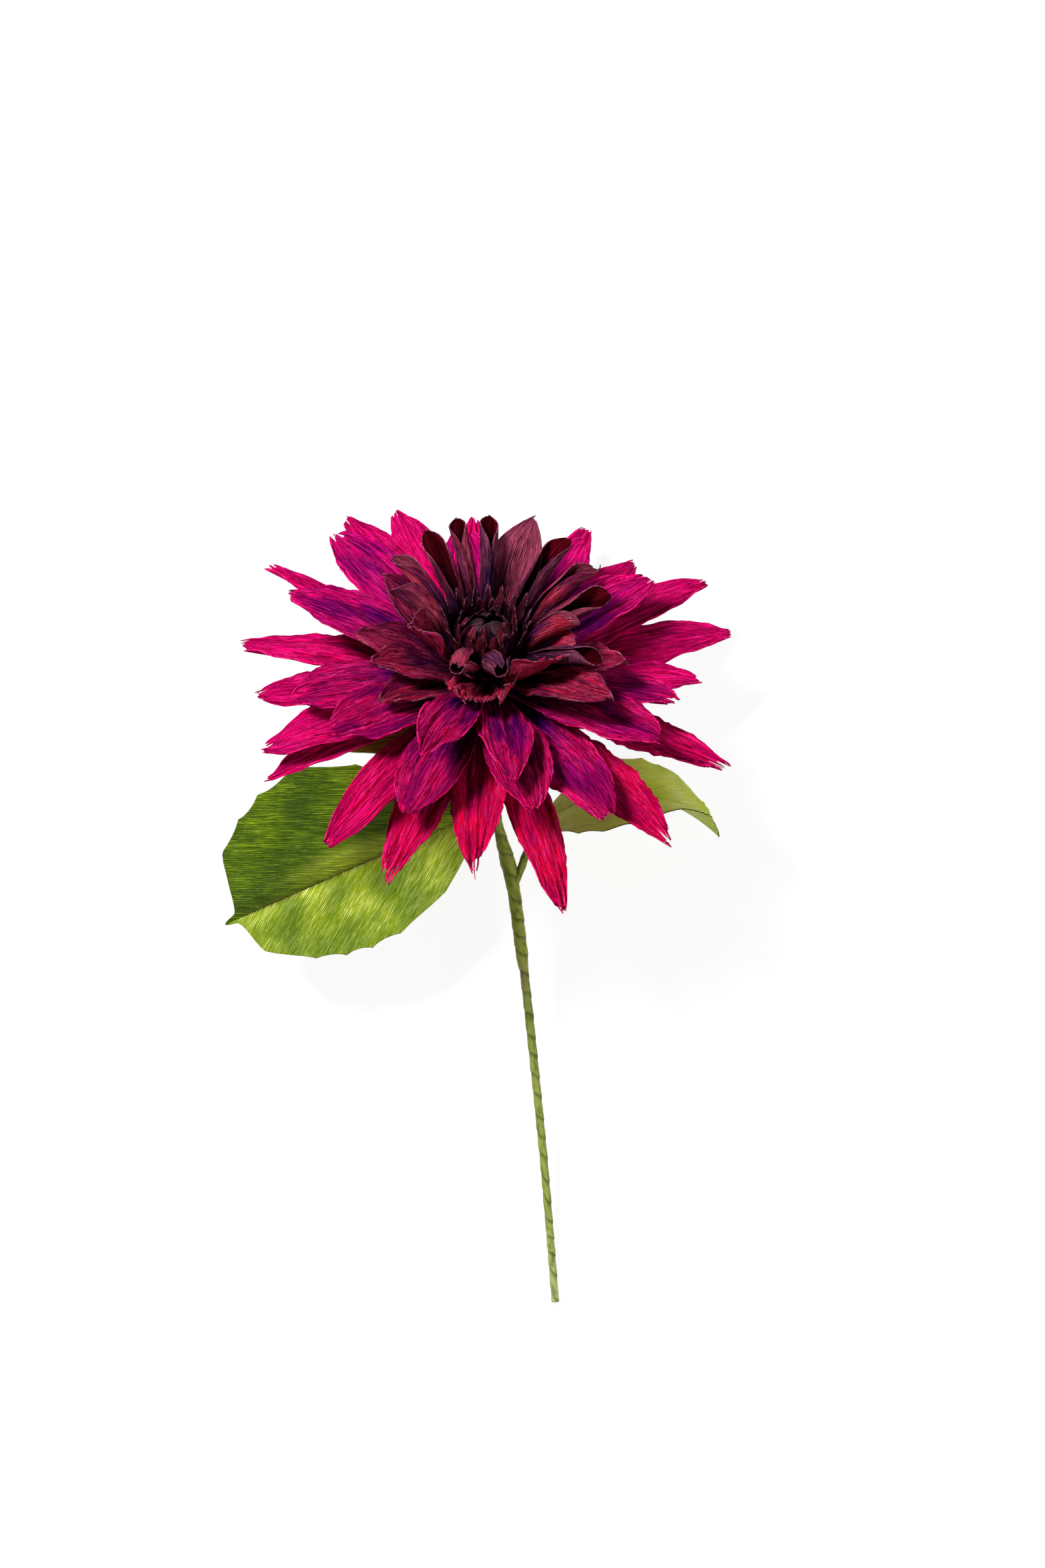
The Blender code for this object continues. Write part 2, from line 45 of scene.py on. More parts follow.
def linear(code):
    """An sRGB hex colour as the linear colour that a shader takes."""
    shares = [int(code[at:at + 2], 16) / 255 for at in (1, 3, 5)]
    return (*(s / 12.92 if s <= 0.04045 else ((s + 0.055) / 1.055) ** 2.4 for s in shares), 1)


def add(material, kind, settings, sockets):
    """Adds a node to a material. settings are its properties, and sockets its inputs by name or
    number, each with a value, another node's output, or a node for its first output."""
    made = material.node_tree.nodes.new("ShaderNode" + kind)
    for key, value in settings.items():
        setattr(made, key, value)
    for key, value in sockets.items():
        if isinstance(value, bpy.types.Node):
            value = value.outputs[0]
        if isinstance(value, bpy.types.NodeSocket):
            material.node_tree.links.new(value, made.inputs[key])
        else:
            made.inputs[key].default_value = value
    return made


def blank(name):
    """A material with nothing in it yet."""
    material = bpy.data.materials.new(name)
    material.use_nodes = True
    material.node_tree.nodes.clear()
    return material


def steps(ramp, stops):
    """Sets a colour ramp's stops from (place, colour) pairs."""
    line = ramp.color_ramp
    line.elements[0].position, line.elements[1].position = stops[0][0], stops[-1][0]
    line.elements[0].color, line.elements[1].color = linear(stops[0][1]), linear(stops[-1][1])
    for place, colour in stops[1:-1]:
        line.elements.new(place).color = linear(colour)


# Drawn steel: a grey metal whose die lines, 0.1 mm apart, run along it and soften its shine
DIE_GAP = 0.0001  # metres
DIE_RUN = 0.0025
drawn_steel = blank("drawn_steel")
place = add(drawn_steel, "TexCoord", {}, {})
lengthwise = add(drawn_steel, "Mapping", {}, {
    0: place.outputs["Object"], 3: (1 / DIE_GAP, 1 / DIE_RUN, 1 / DIE_GAP)})
lines = add(drawn_steel, "TexNoise", {}, {0: lengthwise, "Scale": 1.0, "Detail": 2.0})
rough = add(drawn_steel, "MapRange", {}, {0: lines, 3: 0.25, 4: 0.5})
steel = add(drawn_steel, "BsdfPrincipled", {}, {
    "Base Color": linear("#b4b0aa"), "Metallic": 1.0, "Roughness": rough})
add(drawn_steel, "OutputMaterial", {}, {"Surface": steel})
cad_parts["stem_wire"].material_slots[0].material = drawn_steel

# THE BUD CORE
# A stick of paper wound tight round the wire and dyed dark wine. The petals are glued round its
# foot, and only its crown shows, an olive-grey button of closed florets in the eye.
MM = Matrix.Scale(0.001, 4)
# Where the flower came to rest. Its own frame is in mm, x right, y up, z out of its face.
REST_TURN = (-3.079, 3.768, -0.101)  # degrees
REST_PLACE = (0.005904, 0.086702, 0.064273)  # metres
turned_over = Euler([math.radians(angle) for angle in REST_TURN])
lying = Matrix.Translation(REST_PLACE) @ turned_over.to_matrix().to_4x4() @ MM
EYE_HEIGHT = 27.0
HEAD_TILT = math.radians(45)
head_axis = Vector((0, math.sin(HEAD_TILT), math.cos(HEAD_TILT)))
head = Matrix.Translation(-EYE_HEIGHT * head_axis) @ Matrix.Rotation(-HEAD_TILT, 4, "X")

PAPER = 0.35
GAP = 0.30
CORE_RADIUS = 6.8
CORE_TOP = 18.55
CORE_DOME = 4.0
CORE_FOOT = 3.0
CORE_FOLDS = 9


def placed(name, data):
    """A new object in the scene."""
    made = bpy.data.objects.new(name, data)
    bpy.context.scene.collection.objects.link(made)
    return made


def shaped(name, points, faces, grain, share, finishes):
    """An object of these points and faces, given in the flower's frame. Its materials read at each
    point the grain and the share, three values each."""
    mesh = bpy.data.meshes.new(name)
    mesh.from_pydata(points, [], faces)
    for title, values in (("grain", grain), ("share", share)):
        mesh.attributes.new(title, "FLOAT_VECTOR", "POINT").data.foreach_set("vector", values)
    for finish in finishes:
        mesh.materials.append(finish)
    mesh.transform(lying)
    mesh.shade_smooth()
    return placed(name, mesh)


def grid_mesh(name, patches, finishes):
    """A mesh of patches of (columns, rows, place, tint). place(across, along) gives a point in the
    flower's frame and how far it is across and along the paper's grain in mm, for across from -1
    to 1 and along from 0 to 1. Both go to the materials, with the patch's tint."""
    points, grain, share, faces = [], [], [], []
    for columns, rows, place, tint in patches:
        first = len(points)
        for row in range(rows + 1):
            for column in range(columns + 1):
                across, along = column / columns * 2 - 1, row / rows
                point, beside, run = place(across, along)
                points.append(point)
                grain += (beside, run, tint)
                share += (across, along, tint)
        for row in range(rows):
            for column in range(columns):
                corner = first + row * (columns + 1) + column
                above = corner + columns + 1
                faces.append((corner, above, above + 1, corner + 1))
    return shaped(name, points, faces, grain, share, finishes)


def hand_in(piece, slot, *nodes):
    """Says that a piece stands for these solids and moves with them. slot is not used."""
    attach(piece, "root")
    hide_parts(*nodes)


# Dyed crepe: soft matt paper, painted darker in the furrows of its grain as painted shade and paler
# on the crests as painted highlight.
# The real crests are 0.4 to 0.6 mm apart, drawn 0.6 mm apart so that they show.
CREST = 0.30  # half the way from crest to crest, in mm
CREST_RUN = 7.0
BLOTCH = 5.0
BLOTCH_RUN = 20.0


def grain_of(material, crest, run, blotch, blotch_run):
    """The grain of a sheet: its soft furrows, the thin crests between them, its long creases and
    the slow clouds in its dye, each from 0 to 1, and its height. The sizes are in mm."""
    grain = add(material, "Attribute", {"attribute_name": "grain"}, {}).outputs["Vector"]
    fine = add(material, "Mapping", {}, {0: grain, 3: (1 / crest, 1 / run, 9)})
    soft = add(material, "TexNoise", {}, {
        0: fine, "Scale": 1.0, "Detail": 3.0, "Roughness": 0.65, "Distortion": 0.25})
    # The ridges that the crepeing blade left, evenly spaced and a little wavy
    even = add(material, "Mapping", {}, {0: grain, 3: (0.3 / crest, 2 / run, 3)})
    ridges = add(material, "TexWave", {"bands_direction": "X", "wave_profile": "SIN"}, {
        0: even, "Scale": 0.5, "Distortion": 4.0, "Detail": 2.0, "Detail Scale": 0.7})
    ridges = add(material, "MapRange", {}, {0: ridges.outputs["Fac"], 3: 0.32, 4: 0.68})
    soft = add(material, "Mix", {"data_type": "FLOAT"}, {0: 0.4, 2: soft, 3: ridges})
    broad = add(material, "Mapping", {}, {0: grain, 3: (1 / blotch, 1 / blotch_run, 7)})
    clouds = add(material, "TexNoise", {}, {0: broad, "Scale": 1.0, "Detail": 3.0})
    # A crest, and a crease, is the thin line along which its noise passes 0.5
    middle = add(material, "Math", {"operation": "SUBTRACT"}, {0: soft, 1: 0.5})
    middle = add(material, "Math", {"operation": "ABSOLUTE"}, {0: middle})
    thin = add(material, "MapRange", {}, {0: middle, 1: 0.0, 2: 0.07, 3: 1.0, 4: 0.0})
    long = add(material, "Mapping", {}, {0: grain, 1: (3, 8, 0), 3: (0.28 / crest, 0.5 / run, 9)})
    folds = add(material, "TexNoise", {}, {0: long, "Scale": 1.0, "Detail": 2.0, "Distortion": 0.3})
    away = add(material, "Math", {"operation": "SUBTRACT"}, {0: folds, 1: 0.5})
    away = add(material, "Math", {"operation": "ABSOLUTE"}, {0: away})
    crease = add(material, "MapRange", {}, {0: away, 1: 0.0, 2: 0.045, 3: 1.0, 4: 0.0})
    height = add(material, "Math", {"operation": "MULTIPLY_ADD"}, {0: thin, 1: 0.3, 2: soft})
    height = add(material, "Math", {"operation": "MULTIPLY_ADD"}, {0: away, 1: 5.0, 2: height})
    return soft, thin, crease, clouds, height


def layered(material, colour, washes):
    """A colour with others laid over it in turn, each given with how much of it shows."""
    for over, amount in washes:
        colour = add(material, "Mix", {"data_type": "RGBA"}, {
            0: amount, 6: colour, 7: linear(over)}).outputs[2]
    return colour


def dyed_crepe(name, stops, dark, light, light_share, bleed=0.5, tint_to=None, rim=0.0,
               pool=None, pooled=0.6, tint_power=1.0):
    """Crepe dipped in dye from its foot up: stops are its colours from foot to tip. dark is the
    colour of the painted shade in its furrows and creases, light that of the painted highlight on
    its crests, light_share how much of that highlight shows, and bleed how far the dye's colours
    stray along it. A tinted sheet tends to tint_to, the later the higher tint_power.
    rim is how much further the dye has run along the edges, and pool the colour of its wet patches,
    of which pooled shows."""
    crepe = blank(name)
    soft, thin, crease, clouds, height = grain_of(crepe, CREST, CREST_RUN, BLOTCH, BLOTCH_RUN)
    share = add(crepe, "Attribute", {"attribute_name": "share"}, {})
    across, along, tint = add(crepe, "SeparateXYZ", {}, {0: share.outputs["Vector"]}).outputs
    outwards = add(crepe, "Math", {"operation": "ABSOLUTE"}, {0: across})
    edge = add(crepe, "Math", {"operation": "POWER"}, {0: outwards, 1: 2.5})
    edge = add(crepe, "Math", {"operation": "MULTIPLY_ADD"}, {0: edge, 1: rim, 2: along})
    seep = add(crepe, "MapRange", {}, {0: clouds, 1: 0.3, 2: 0.7, 3: -bleed / 2, 4: bleed / 2})
    threads = add(crepe, "MapRange", {}, {0: soft, 1: 0.3, 2: 0.7, 3: -bleed / 4, 4: bleed / 4})
    reached = add(crepe, "Math", {"operation": "ADD"}, {0: edge, 1: seep})
    reached = add(crepe, "Math", {"operation": "ADD"}, {0: reached, 1: threads})
    dye = add(crepe, "ValToRGB", {}, {0: reached})
    steps(dye, stops)
    washes = []
    if tint_to:
        towards = add(crepe, "MapRange", {}, {0: reached, 1: 0.25, 2: 0.75, 3: 0.0, 4: 0.95})
        tinted = add(crepe, "Math", {"operation": "POWER"}, {0: tint, 1: tint_power})
        towards = add(crepe, "Math", {"operation": "MULTIPLY"}, {0: towards, 1: tinted})
        washes.append((tint_to, towards))
    if pool:
        wet = add(crepe, "MapRange", {}, {0: clouds, 1: 0.52, 2: 0.40, 3: 0.0, 4: pooled})
        washes.append((pool, wet))
    # Painted shade: darker in the furrows of the grain and along its long creases
    furrow_shade = add(crepe, "MapRange", {}, {0: soft, 1: 0.52, 2: 0.36, 3: 0.0, 4: 0.75})
    creased = add(crepe, "Math", {"operation": "MULTIPLY"}, {0: crease, 1: 0.9})
    shade = add(crepe, "Math", {"operation": "MAXIMUM"}, {0: furrow_shade, 1: creased})
    # Painted highlight on the crests, strongest between the dye's clouds and towards the tip, where
    # least dye is
    highlight_between_clouds = add(crepe, "MapRange", {}, {
        0: clouds, 1: 0.35, 2: 0.65, 3: light_share * 0.25, 4: light_share})
    shine = add(crepe, "Math", {"operation": "MULTIPLY"}, {0: thin, 1: highlight_between_clouds})
    highlight_towards_tip = add(crepe, "MapRange", {}, {0: reached, 1: 0.1, 2: 0.7, 3: 0.25, 4: 1.0})
    shine = add(crepe, "Math", {"operation": "MULTIPLY"}, {0: shine, 1: highlight_towards_tip})
    washes += [(dark, shade), (light, shine)]
    raised = add(crepe, "Bump", {}, {"Strength": 1.0, "Distance": 0.0007, "Height": height})
    paper = add(crepe, "BsdfPrincipled", {}, {
        "Base Color": layered(crepe, dye, washes), "Roughness": 0.65,
        "Specular IOR Level": 0.0, "Normal": raised})
    add(crepe, "OutputMaterial", {}, {"Surface": paper})
    return crepe


closed_bud_crepe = dyed_crepe("closed_bud_crepe", [(0.0, "#160209"), (0.6, "#2b0414"),
                                                   (0.85, "#543b3f"), (1.0, "#6b5a50")],
                              "#120106", "#8a6f72", 0.5)


def core_place(across, along):
    """Half of the core's rows climb its side, and the rest close its dome."""
    turn = math.pi * across
    rise = (CORE_TOP + CORE_FOOT) * min(1, along / 0.5)
    lift = max(0.0, (along - 0.5) / 0.5) * math.pi / 2
    fold = 1 - 0.05 * abs(math.sin(CORE_FOLDS / 2 * turn)) * min(1, along * 2)
    radius = CORE_RADIUS * math.cos(lift) * fold
    height = -CORE_FOOT + rise + CORE_DOME * math.sin(lift)
    point = head @ Vector((radius * math.cos(turn), radius * math.sin(turn), height))
    return point, turn * CORE_RADIUS, height + (CORE_TOP - CORE_FOOT)


bud = grid_mesh("closed_bud", [(72, 40, core_place, 0.5)], [closed_bud_crepe])
hand_in(bud, "core_paper", "bud_core")

# THE FLORET STRIPS
# Four strips of crepe, dyed almost black, snipped into narrow teeth along one edge and wound
# round the core. The inner teeth close over its crown, and the outer ones stand up round it.
BAND = 1.2  # the strip's uncut edge
PITCH = 1.45  # from one level of petals to the next
QUILL_FOOT = 7 * PITCH + 2 * BAND
FLORETS = [  # length, width, number, curl
    (12.0, 5.6, 8, 92), (12.0, 4.8, 12, 56), (12.5, 4.4, 14, 26), (15.0, 3.8, 18, -4),
]


def cut(length, width, lift, curl, cup, widest=0.5, foot=0.25, taper=1.7, tip=0.06, droop=12,
        pleat=0.38, ruffle=0.6, jag=0.03, **more):
    """How a kind of petal is cut and shaped, in mm and degrees. lift is its slope at the foot and
    curl how much it gains by the tip, and droop is how much lower it hangs at the front. cup is how
    far its edges turn up. foot and tip are its width there, as shares of its greatest width, which
    is at widest, and taper is how blunt it ends. pleat, ruffle and jag say how creased, wavy and
    torn it is."""
    return {"length": length, "width": width, "lift": lift, "curl": curl, "cup": cup,
            "widest": widest, "foot": foot, "taper": taper, "tip": tip, "droop": droop,
            "pleat": pleat, "ruffle": ruffle, "jag": jag, **more}


def outline(shape, along):
    """Half a petal's width, as a share of its greatest half width."""
    widest, foot, tip = shape["widest"], shape["foot"], shape["tip"]
    if along < widest:
        return foot + (1 - foot) * math.sin(math.pi / 2 * along / widest) ** 1.5
    return tip + (1 - tip) * (1 - ((along - widest) / (1 - widest)) ** shape["taper"])


# How broad and how long a petal's own creases and waves are, in mm
PLEAT = (0.9, 12)
THUMB_CREASE = (2.3, 26)
CRINKLE = (1.5, 6)
RUFFLE_RUN = 6.5
TIP_TOOTH = 1.1
EDGE_NICK = 2.0
CUPPED_BY = 0.7  # the share of its length by which a petal is fully cupped
# How far each edge of a rolled tube turns, in radians: a little past closed
CLOSED = 3.25


def petal(shape, row, foot_radius, foot_height, hug=False):
    """The place function of a petal. row is its azimuth round the bloom, its share of the length,
    the degrees added to its lift, its share of the width and what else is its own. hug starts it
    on the circle of a strip's edge."""
    azimuth, reach, lift, *own = row
    shape = {**shape, **(own[1] if len(own) > 1 else {})}
    turn = math.radians(azimuth + shape.get("turn", 0))
    outward = Vector((math.cos(turn), math.sin(turn), 0))
    sideways = Vector((-math.sin(turn), math.cos(turn), 0))
    start = math.radians(shape["lift"] + lift - shape["droop"] * (1 - math.sin(turn)) / 2)
    curl = math.radians(shape["curl"]) or 1e-6
    length = shape["length"] * reach
    half_width = shape["width"] / 2 * (own[0] if own else 1)
    foot_half = shape["width"] / 2 * shape["foot"] if hug else half_width * shape["foot"]
    foot_bend = math.degrees(foot_half / foot_radius) if hug else shape["cup"] / 3
    seed = azimuth * 0.73 + foot_radius * 3.1 + foot_height
    # Its own slant of the tip, sideways bow and lean, so that no two petals look alike
    slant = noise.noise((seed, 2.2, 7.1)) * 2
    bow = noise.noise((seed, 5.7, 1.3)) * 0.05 * length
    lean = math.radians(noise.noise((seed, 8.1, 3.9)) * 26)
    seam = math.radians(shape.get("seam", 0))
    mouth = shape.get("mouth", 1) - 1
    # The radius of the stick that it was rolled round, if it was
    tube = shape.get("tube", 0)

    def place(across, along):
        tooth = shape["jag"] * abs(noise.noise((across * half_width / TIP_TOOTH, seed, 4))) * 2.2
        tooth += 0.035 * slant * across
        at = along * (1 - tooth * along ** 2)
        slope = start + curl * at
        out = length * (math.sin(slope) - math.sin(start)) / curl
        up = length * (math.cos(start) - math.cos(slope)) / curl
        nick = noise.noise((at * length / EDGE_NICK, seed, math.copysign(9, across)))
        nick = 1 + shape["jag"] * nick
        half = half_width * outline(shape, at) * nick if along > 0.001 else foot_half
        bend = math.radians(foot_bend + (shape["cup"] - foot_bend) * min(1, at / CUPPED_BY))
        # The mouth flares over the outer half
        flared = 1 + mouth * max(0, (at - 0.5) / 0.5) ** 2
        if tube:
            # The tube widens over its inner half and is closed past its first quarter
            width_of_tube = tube * (0.45 + 0.55 * min(1, at / 0.5)) * flared
            closed = min(1, at / 0.25)
            bend = bend * (1 - closed) + min(half / width_of_tube, CLOSED) * closed
            flared = width_of_tube / (half / bend) * closed + 1 - closed
        rolled = bend * across + seam * min(1, at / 0.5)
        radius = half / bend * flared * (1 + shape.get("spiral", 0) * across)
        side, rise = radius * math.sin(rolled), radius * (1 - math.cos(rolled))
        normal = outward * -math.sin(slope) + Vector((0, 0, math.cos(slope)))
        if not hug:
            side, rise = (side * math.cos(lean * at) - rise * math.sin(lean * at) + bow * at ** 2,
                          side * math.sin(lean * at) + rise * math.cos(lean * at))
        elif along < 0.001:
            normal = -outward
        # Grain lines fan out a little towards the widest part and are cut off by the edges
        beside = across * (half + half_width) / 2
        run = at * length
        grown = min(1, at * 3)
        pleat = noise.noise((beside / PLEAT[0], run / PLEAT[1], seed)) * 1.2
        # The long creases that the thumbs leave are sharp, and the paper between them is round
        crease = noise.noise((beside / THUMB_CREASE[0], run / THUMB_CREASE[1], seed + 5))
        pleat += 2.2 - abs(crease) * 7
        rise += pleat * shape["pleat"] * grown
        wave = noise.noise((math.copysign(5, across), run / RUFFLE_RUN, seed)) * abs(across) ** 3
        rise += wave * shape["ruffle"] * 2 * grown
        crinkle = shape.get("crinkle", 0) * max(0, (at - 0.55) / 0.45) ** 2
        rise += crinkle * noise.noise((beside / CRINKLE[0], run / CRINKLE[1], seed)) * 2
        spine = outward * (foot_radius + out) + Vector((0, 0, foot_height + up))
        return head @ (spine + sideways * side + normal * rise), beside + seed * 17, run

    return place


FIBRE_HALF = 0.34
FIBRE_ROOT = 0.94  # how far along the petal they start
FIBRE_GRAIN = 60  # mm along the grain, where the longest petals end


def fibres(place, tint, count, reach):
    """The patches of a torn tip's loose fibres: twisted ribbons of crepe that run on from it."""
    patches = []
    for number in range(count):
        at = (number + 0.5) / count * 1.5 - 0.75
        seed = number * 3.7 + tint * 11 + count
        root = place(at, FIBRE_ROOT)[0]
        ahead = (place(at, 0.99)[0] - root).normalized()
        aside = (place(at + 0.1, FIBRE_ROOT)[0] - root).normalized()
        face = ahead.cross(aside)
        long = reach * (1 + noise.noise((seed, 1, 1)))
        swing, rise = noise.noise((seed, 5, 1)) * 1.3, noise.noise((seed, 9, 1)) * 1.3

        def ribbon(across, along, root=root, ahead=ahead, aside=aside, face=face, long=long,
                   swing=swing, rise=rise, at=at):
            wide = FIBRE_HALF * (1 - 0.6 * along) * across
            kink = 0.3 * math.sin(along * 7 + at * 9)
            bent = along ** 2 * long
            return (root + ahead * along * long + aside * (swing * bent + wide + kink * along)
                    + face * (rise * bent + 0.5 * wide * math.sin(along * 4)), at * 9 + wide,
                    FIBRE_GRAIN + along * long)

        patches.append((2, 10, ribbon, tint))
    return patches


def band(low, high, radius, foot):
    """The place function of a stretch of a strip's uncut edge, wound round the core."""

    def place(across, along):
        turn = math.radians(low + (high - low) * (across + 1) / 2)
        point = Vector((radius * math.cos(turn), radius * math.sin(turn), foot + BAND * along))
        return head @ point, turn * radius, 0.0

    return place


def crepe_sheet(name, patches, finishes):
    """A grid mesh given the paper's thickness. finishes are its face, its back and its cut edge."""
    sheet = grid_mesh(name, patches, finishes)
    paper = sheet.modifiers.new("paper", "SOLIDIFY")
    paper.thickness = PAPER / 1000
    paper.offset = 0
    paper.material_offset = 1
    paper.material_offset_rim = 2
    return sheet


def crepe_strip(name, rows, shape, radius, foot, columns, lines, finishes, tint):
    """A strip cut into petals along one edge and wound round the core. Each petal has a stretch of
    the uncut edge below it, and one up to the next petal."""
    half_foot = math.degrees(shape["width"] / 2 * shape["foot"] / radius)
    patches = []
    ordered = sorted(rows)
    for number, row in enumerate(ordered):
        after = ordered[(number + 1) % len(ordered)][0]
        after += 360 if after <= row[0] else 0
        start, end, after = row[0] - half_foot, row[0] + half_foot, after - half_foot
        between = max(2, round((after - end) / 4))
        patches += [
            (columns, lines, petal(shape, row, radius, foot + BAND, hug=True), tint(row[0])),
            (columns, 2, band(start, end, radius, foot), 0.5),
            (between, 2, band(end, after, radius, foot), 0.5),
        ]
    return crepe_sheet(name, patches, finishes)


floret_crepe = dyed_crepe("black_dyed_floret_crepe", [
    (0.0, "#020001"), (0.6, "#0a0004"), (0.86, "#1c010e"), (0.96, "#4c0824"), (1.0, "#984c70")],
    "#020001", "#d87cac", 0.3, 0.15, "#8c0c0c", pool="#14021c", pooled=0.7)
floret_edge = dyed_crepe("pale_floret_edge", [
    (0.0, "#060003"), (0.8, "#200410"), (1.0, "#783c58")], "#080104", "#c898b4", 0.3, 0.2)
# The closed teeth in the eye, which no dye has reached, have aged to an olive grey
eye_crepe = dyed_crepe("olive_grey_floret_crepe", [
    (0.0, "#080104"), (0.45, "#1c040e"), (0.8, "#30101c"), (0.93, "#44282c"), (1.0, "#6c5454")],
    "#080206", "#b094a0", 0.6, 0.2, "#501828")
first_ring = CORE_RADIUS + GAP + PAPER / 2
for ring, (length, width, count, curl) in enumerate(FLORETS):
    shape = cut(length, width, 79 - ring / 2, curl, 52, 0.35, 0.7, 2.0, 0.12, 0,
                pleat=0.12, ruffle=0.2)
    rows = [(360 / count * (k + 0.5 * (ring % 2) + 0.3 * noise.noise((k * 1.7, ring, 3))),
             1 + 0.22 * noise.noise((k * 2.3, ring, 5)), 10 * noise.noise((k * 1.3, ring, 9)))
            for k in range(count)]
    foot = QUILL_FOOT + (4 - ring) * BAND * 0.7
    florets = crepe_strip(f"snipped_florets_{ring + 1}", rows, shape,
                          first_ring + ring * (PAPER + GAP), foot, 8, 20,
                          [floret_crepe, floret_crepe, floret_edge] if ring else [eye_crepe] * 3,
                          lambda azimuth: 0.5 + 0.5 * math.sin(azimuth * 1.7) ** 3)
    hand_in(florets, "dark_crepe", f"floret_strip_{ring + 1}")

# THE QUILLS
# One strip of wine crepe cut into thirteen petals, each rolled round a skewer into a tube with a
# flared mouth. The backs, which are outside, have faded to mauve, and the insides are near black.
QUILLS = [
    (22, 1.12, -5, 1, {"tube": 2.4, "seam": -14}), (3, 1.10, -9, 1, {"tube": 2.6, "seam": 35}),
    (344, 0.92, 3, 1, {"tube": 2.5, "seam": -40}), (325, 1.16, -14, 1, {"tube": 2.1, "seam": 10}),
    (280, 0.70, 0, 1.2, {"tube": 3.7, "mouth": 0.45, "seam": -50, "tip": 0.5, "jag": 0.06}),
    (249, 0.70, 0, 1.2, {"tube": 3.7, "mouth": 0.42, "seam": -64, "tip": 0.5, "jag": 0.06}),
    (169, 0.96, 2, 1, {"tube": 2.8, "seam": 75}), (149, 1.08, 0, 1, {"tube": 2.5, "seam": 8}),
    (127, 1.12, 3, 1, {"tube": 3.0, "seam": -14, "widest": 0.5}),
    (107, 1.14, 0, 1, {"tube": 2.2, "seam": -14}), (88, 1.14, 4, 1, {"tube": 2.3, "seam": 14}),
    # One of them was left open, a long flat petal among the tubes
    (67, 1.18, -4, 1.2, {"tube": 0, "cup": 62, "spiral": 0, "taper": 1.8, "mouth": 1}),
    (44, 1.14, -2, 1, {"tube": 2.7, "widest": 0.55}),
]
# How far each one's dye has turned from mauve to red, and the open one's to pink
QUILL_TINTS = {22: 0.9, 3: 0.45, 344: 1.0, 325: 0.0, 280: 0.0, 249: 0.55, 169: 0.7, 149: 0.95,
               127: 0.3, 107: 0.35, 88: 0.0, 67: 1.0, 44: 0.05}
quill_inside = dyed_crepe("wine_crepe_inside", [(0.0, "#080002"), (0.6, "#28020a"),
                                                (1.0, "#640618")], "#100004", "#9c2030", 0.4, 0.5,
                          "#c8587c", tint_power=7.0)
quill_outside = dyed_crepe("mauve_crepe_outside", [
    (0.0, "#060006"), (0.4, "#1c0416"), (0.7, "#3c0c2c"), (1.0, "#6c2c50")],
    "#080006", "#e07898", 0.6, 0.4, "#cc1c38", pool="#1c0848", pooled=0.65)
paper_edge = dyed_crepe("pale_cut_edge", [(0.0, "#1c040c"), (0.5, "#54162e"), (1.0, "#904c64")],
                        "#48102a", "#c08898", 0.2, 0.2)
QUILL_CUT = cut(29, 15, 60, -22, 168, 0.62, 0.26, 3.0, 0.06, 6, pleat=0.1, ruffle=0.2, jag=0.01,
                spiral=0.10, mouth=1.15, tube=2.6)
quills = crepe_strip("rolled_quills", QUILLS, QUILL_CUT, first_ring + 4 * (PAPER + GAP),
                     QUILL_FOOT, 40, 40, [quill_inside, quill_outside, paper_edge],
                     lambda azimuth: QUILL_TINTS[azimuth])
hand_in(quills, "wine_crepe", "quill_strip")


# THE PETALS
# Forty-three petals of crepe in seven levels, each cut on its own, cupped with the thumbs and
# glued to the foot of the core: wine next to the quills, then plum, and magenta outside.
def petals(title, nodes, rows, shape, number, columns, lines, finishes, slot, tint):
    """A level of petals. number is the level's, counted from the lowest."""
    for row in rows:
        place = petal(shape, row, CORE_RADIUS + GAP + PAPER, number * PITCH)
        patches = [(columns, lines, place, tint(row[0]))]
        if len(row) > 4 and "frayed" in row[4]:
            patches += fibres(place, tint(row[0]), *row[4]["frayed"])
        sheet = crepe_sheet(f"{title}_{row[0]:03d}", patches, finishes)
        hand_in(sheet, slot, f"{nodes}_{row[0]:03d}")


def front(azimuth):
    """1 for a petal at the front of the bloom, 0 for one at its back."""
    return (1 - math.sin(math.radians(azimuth))) / 2


CUPS = [
    (197, 1.18, 12, 0.9),
    (266, 1.05, -10, 1.25, {"crinkle": 1.8, "jag": 0.12, "ruffle": 2.2}),
    (322, 1.36, 2, 1.3, {"crinkle": 0.6, "ruffle": 1.6, "turn": -4}),
]
INNER_FRONT = [(316, 1.20, 0), (252, 1.34, -5), (201, 0.84, 0), (148, 0.90, 3)]
INNER_BACK = [(346, 0.98, 0), (279, 1.36, -4), (219, 0.86, 0), (178, 0.88, 0)]
wine_crepe = dyed_crepe("wine_crepe", [
    (0.0, "#10000c"), (0.3, "#340424"), (0.6, "#6c0634"), (0.85, "#900c44"), (1.0, "#a81c58")],
    "#140010", "#f06090", 0.6, 0.6, "#b00830", rim=0.25, pool="#340440", pooled=0.5)
crimson_crepe = dyed_crepe("crimson_crepe", [
    (0.0, "#14000a"), (0.35, "#5c0424"), (0.6, "#b8043c"), (1.0, "#e01858")],
    "#4c001c", "#ff80a8", 0.5, 0.5, "#c00838", rim=0.3)
for row, look in zip(CUPS, (wine_crepe, crimson_crepe, crimson_crepe)):
    petals("cup_petal", "cupped_petal", [row],
           cut(23, 18, 50, 6, 56, 0.7, 0.3, 2.2, 0.6, pleat=0.35, ruffle=1.2, jag=0.05),
           6, 48, 44, [look, look, paper_edge], "wine_crepe", front)
plum_crepe = dyed_crepe("plum_dipped_crepe", [
    (0.0, "#0c001c"), (0.35, "#2c0040"), (0.56, "#780060"), (0.76, "#d00070"), (1.0, "#ff0080")],
    "#1c001c", "#ff38a8", 0.7, 0.5, "#c80038", rim=0.24, pool="#400078", pooled=0.35)
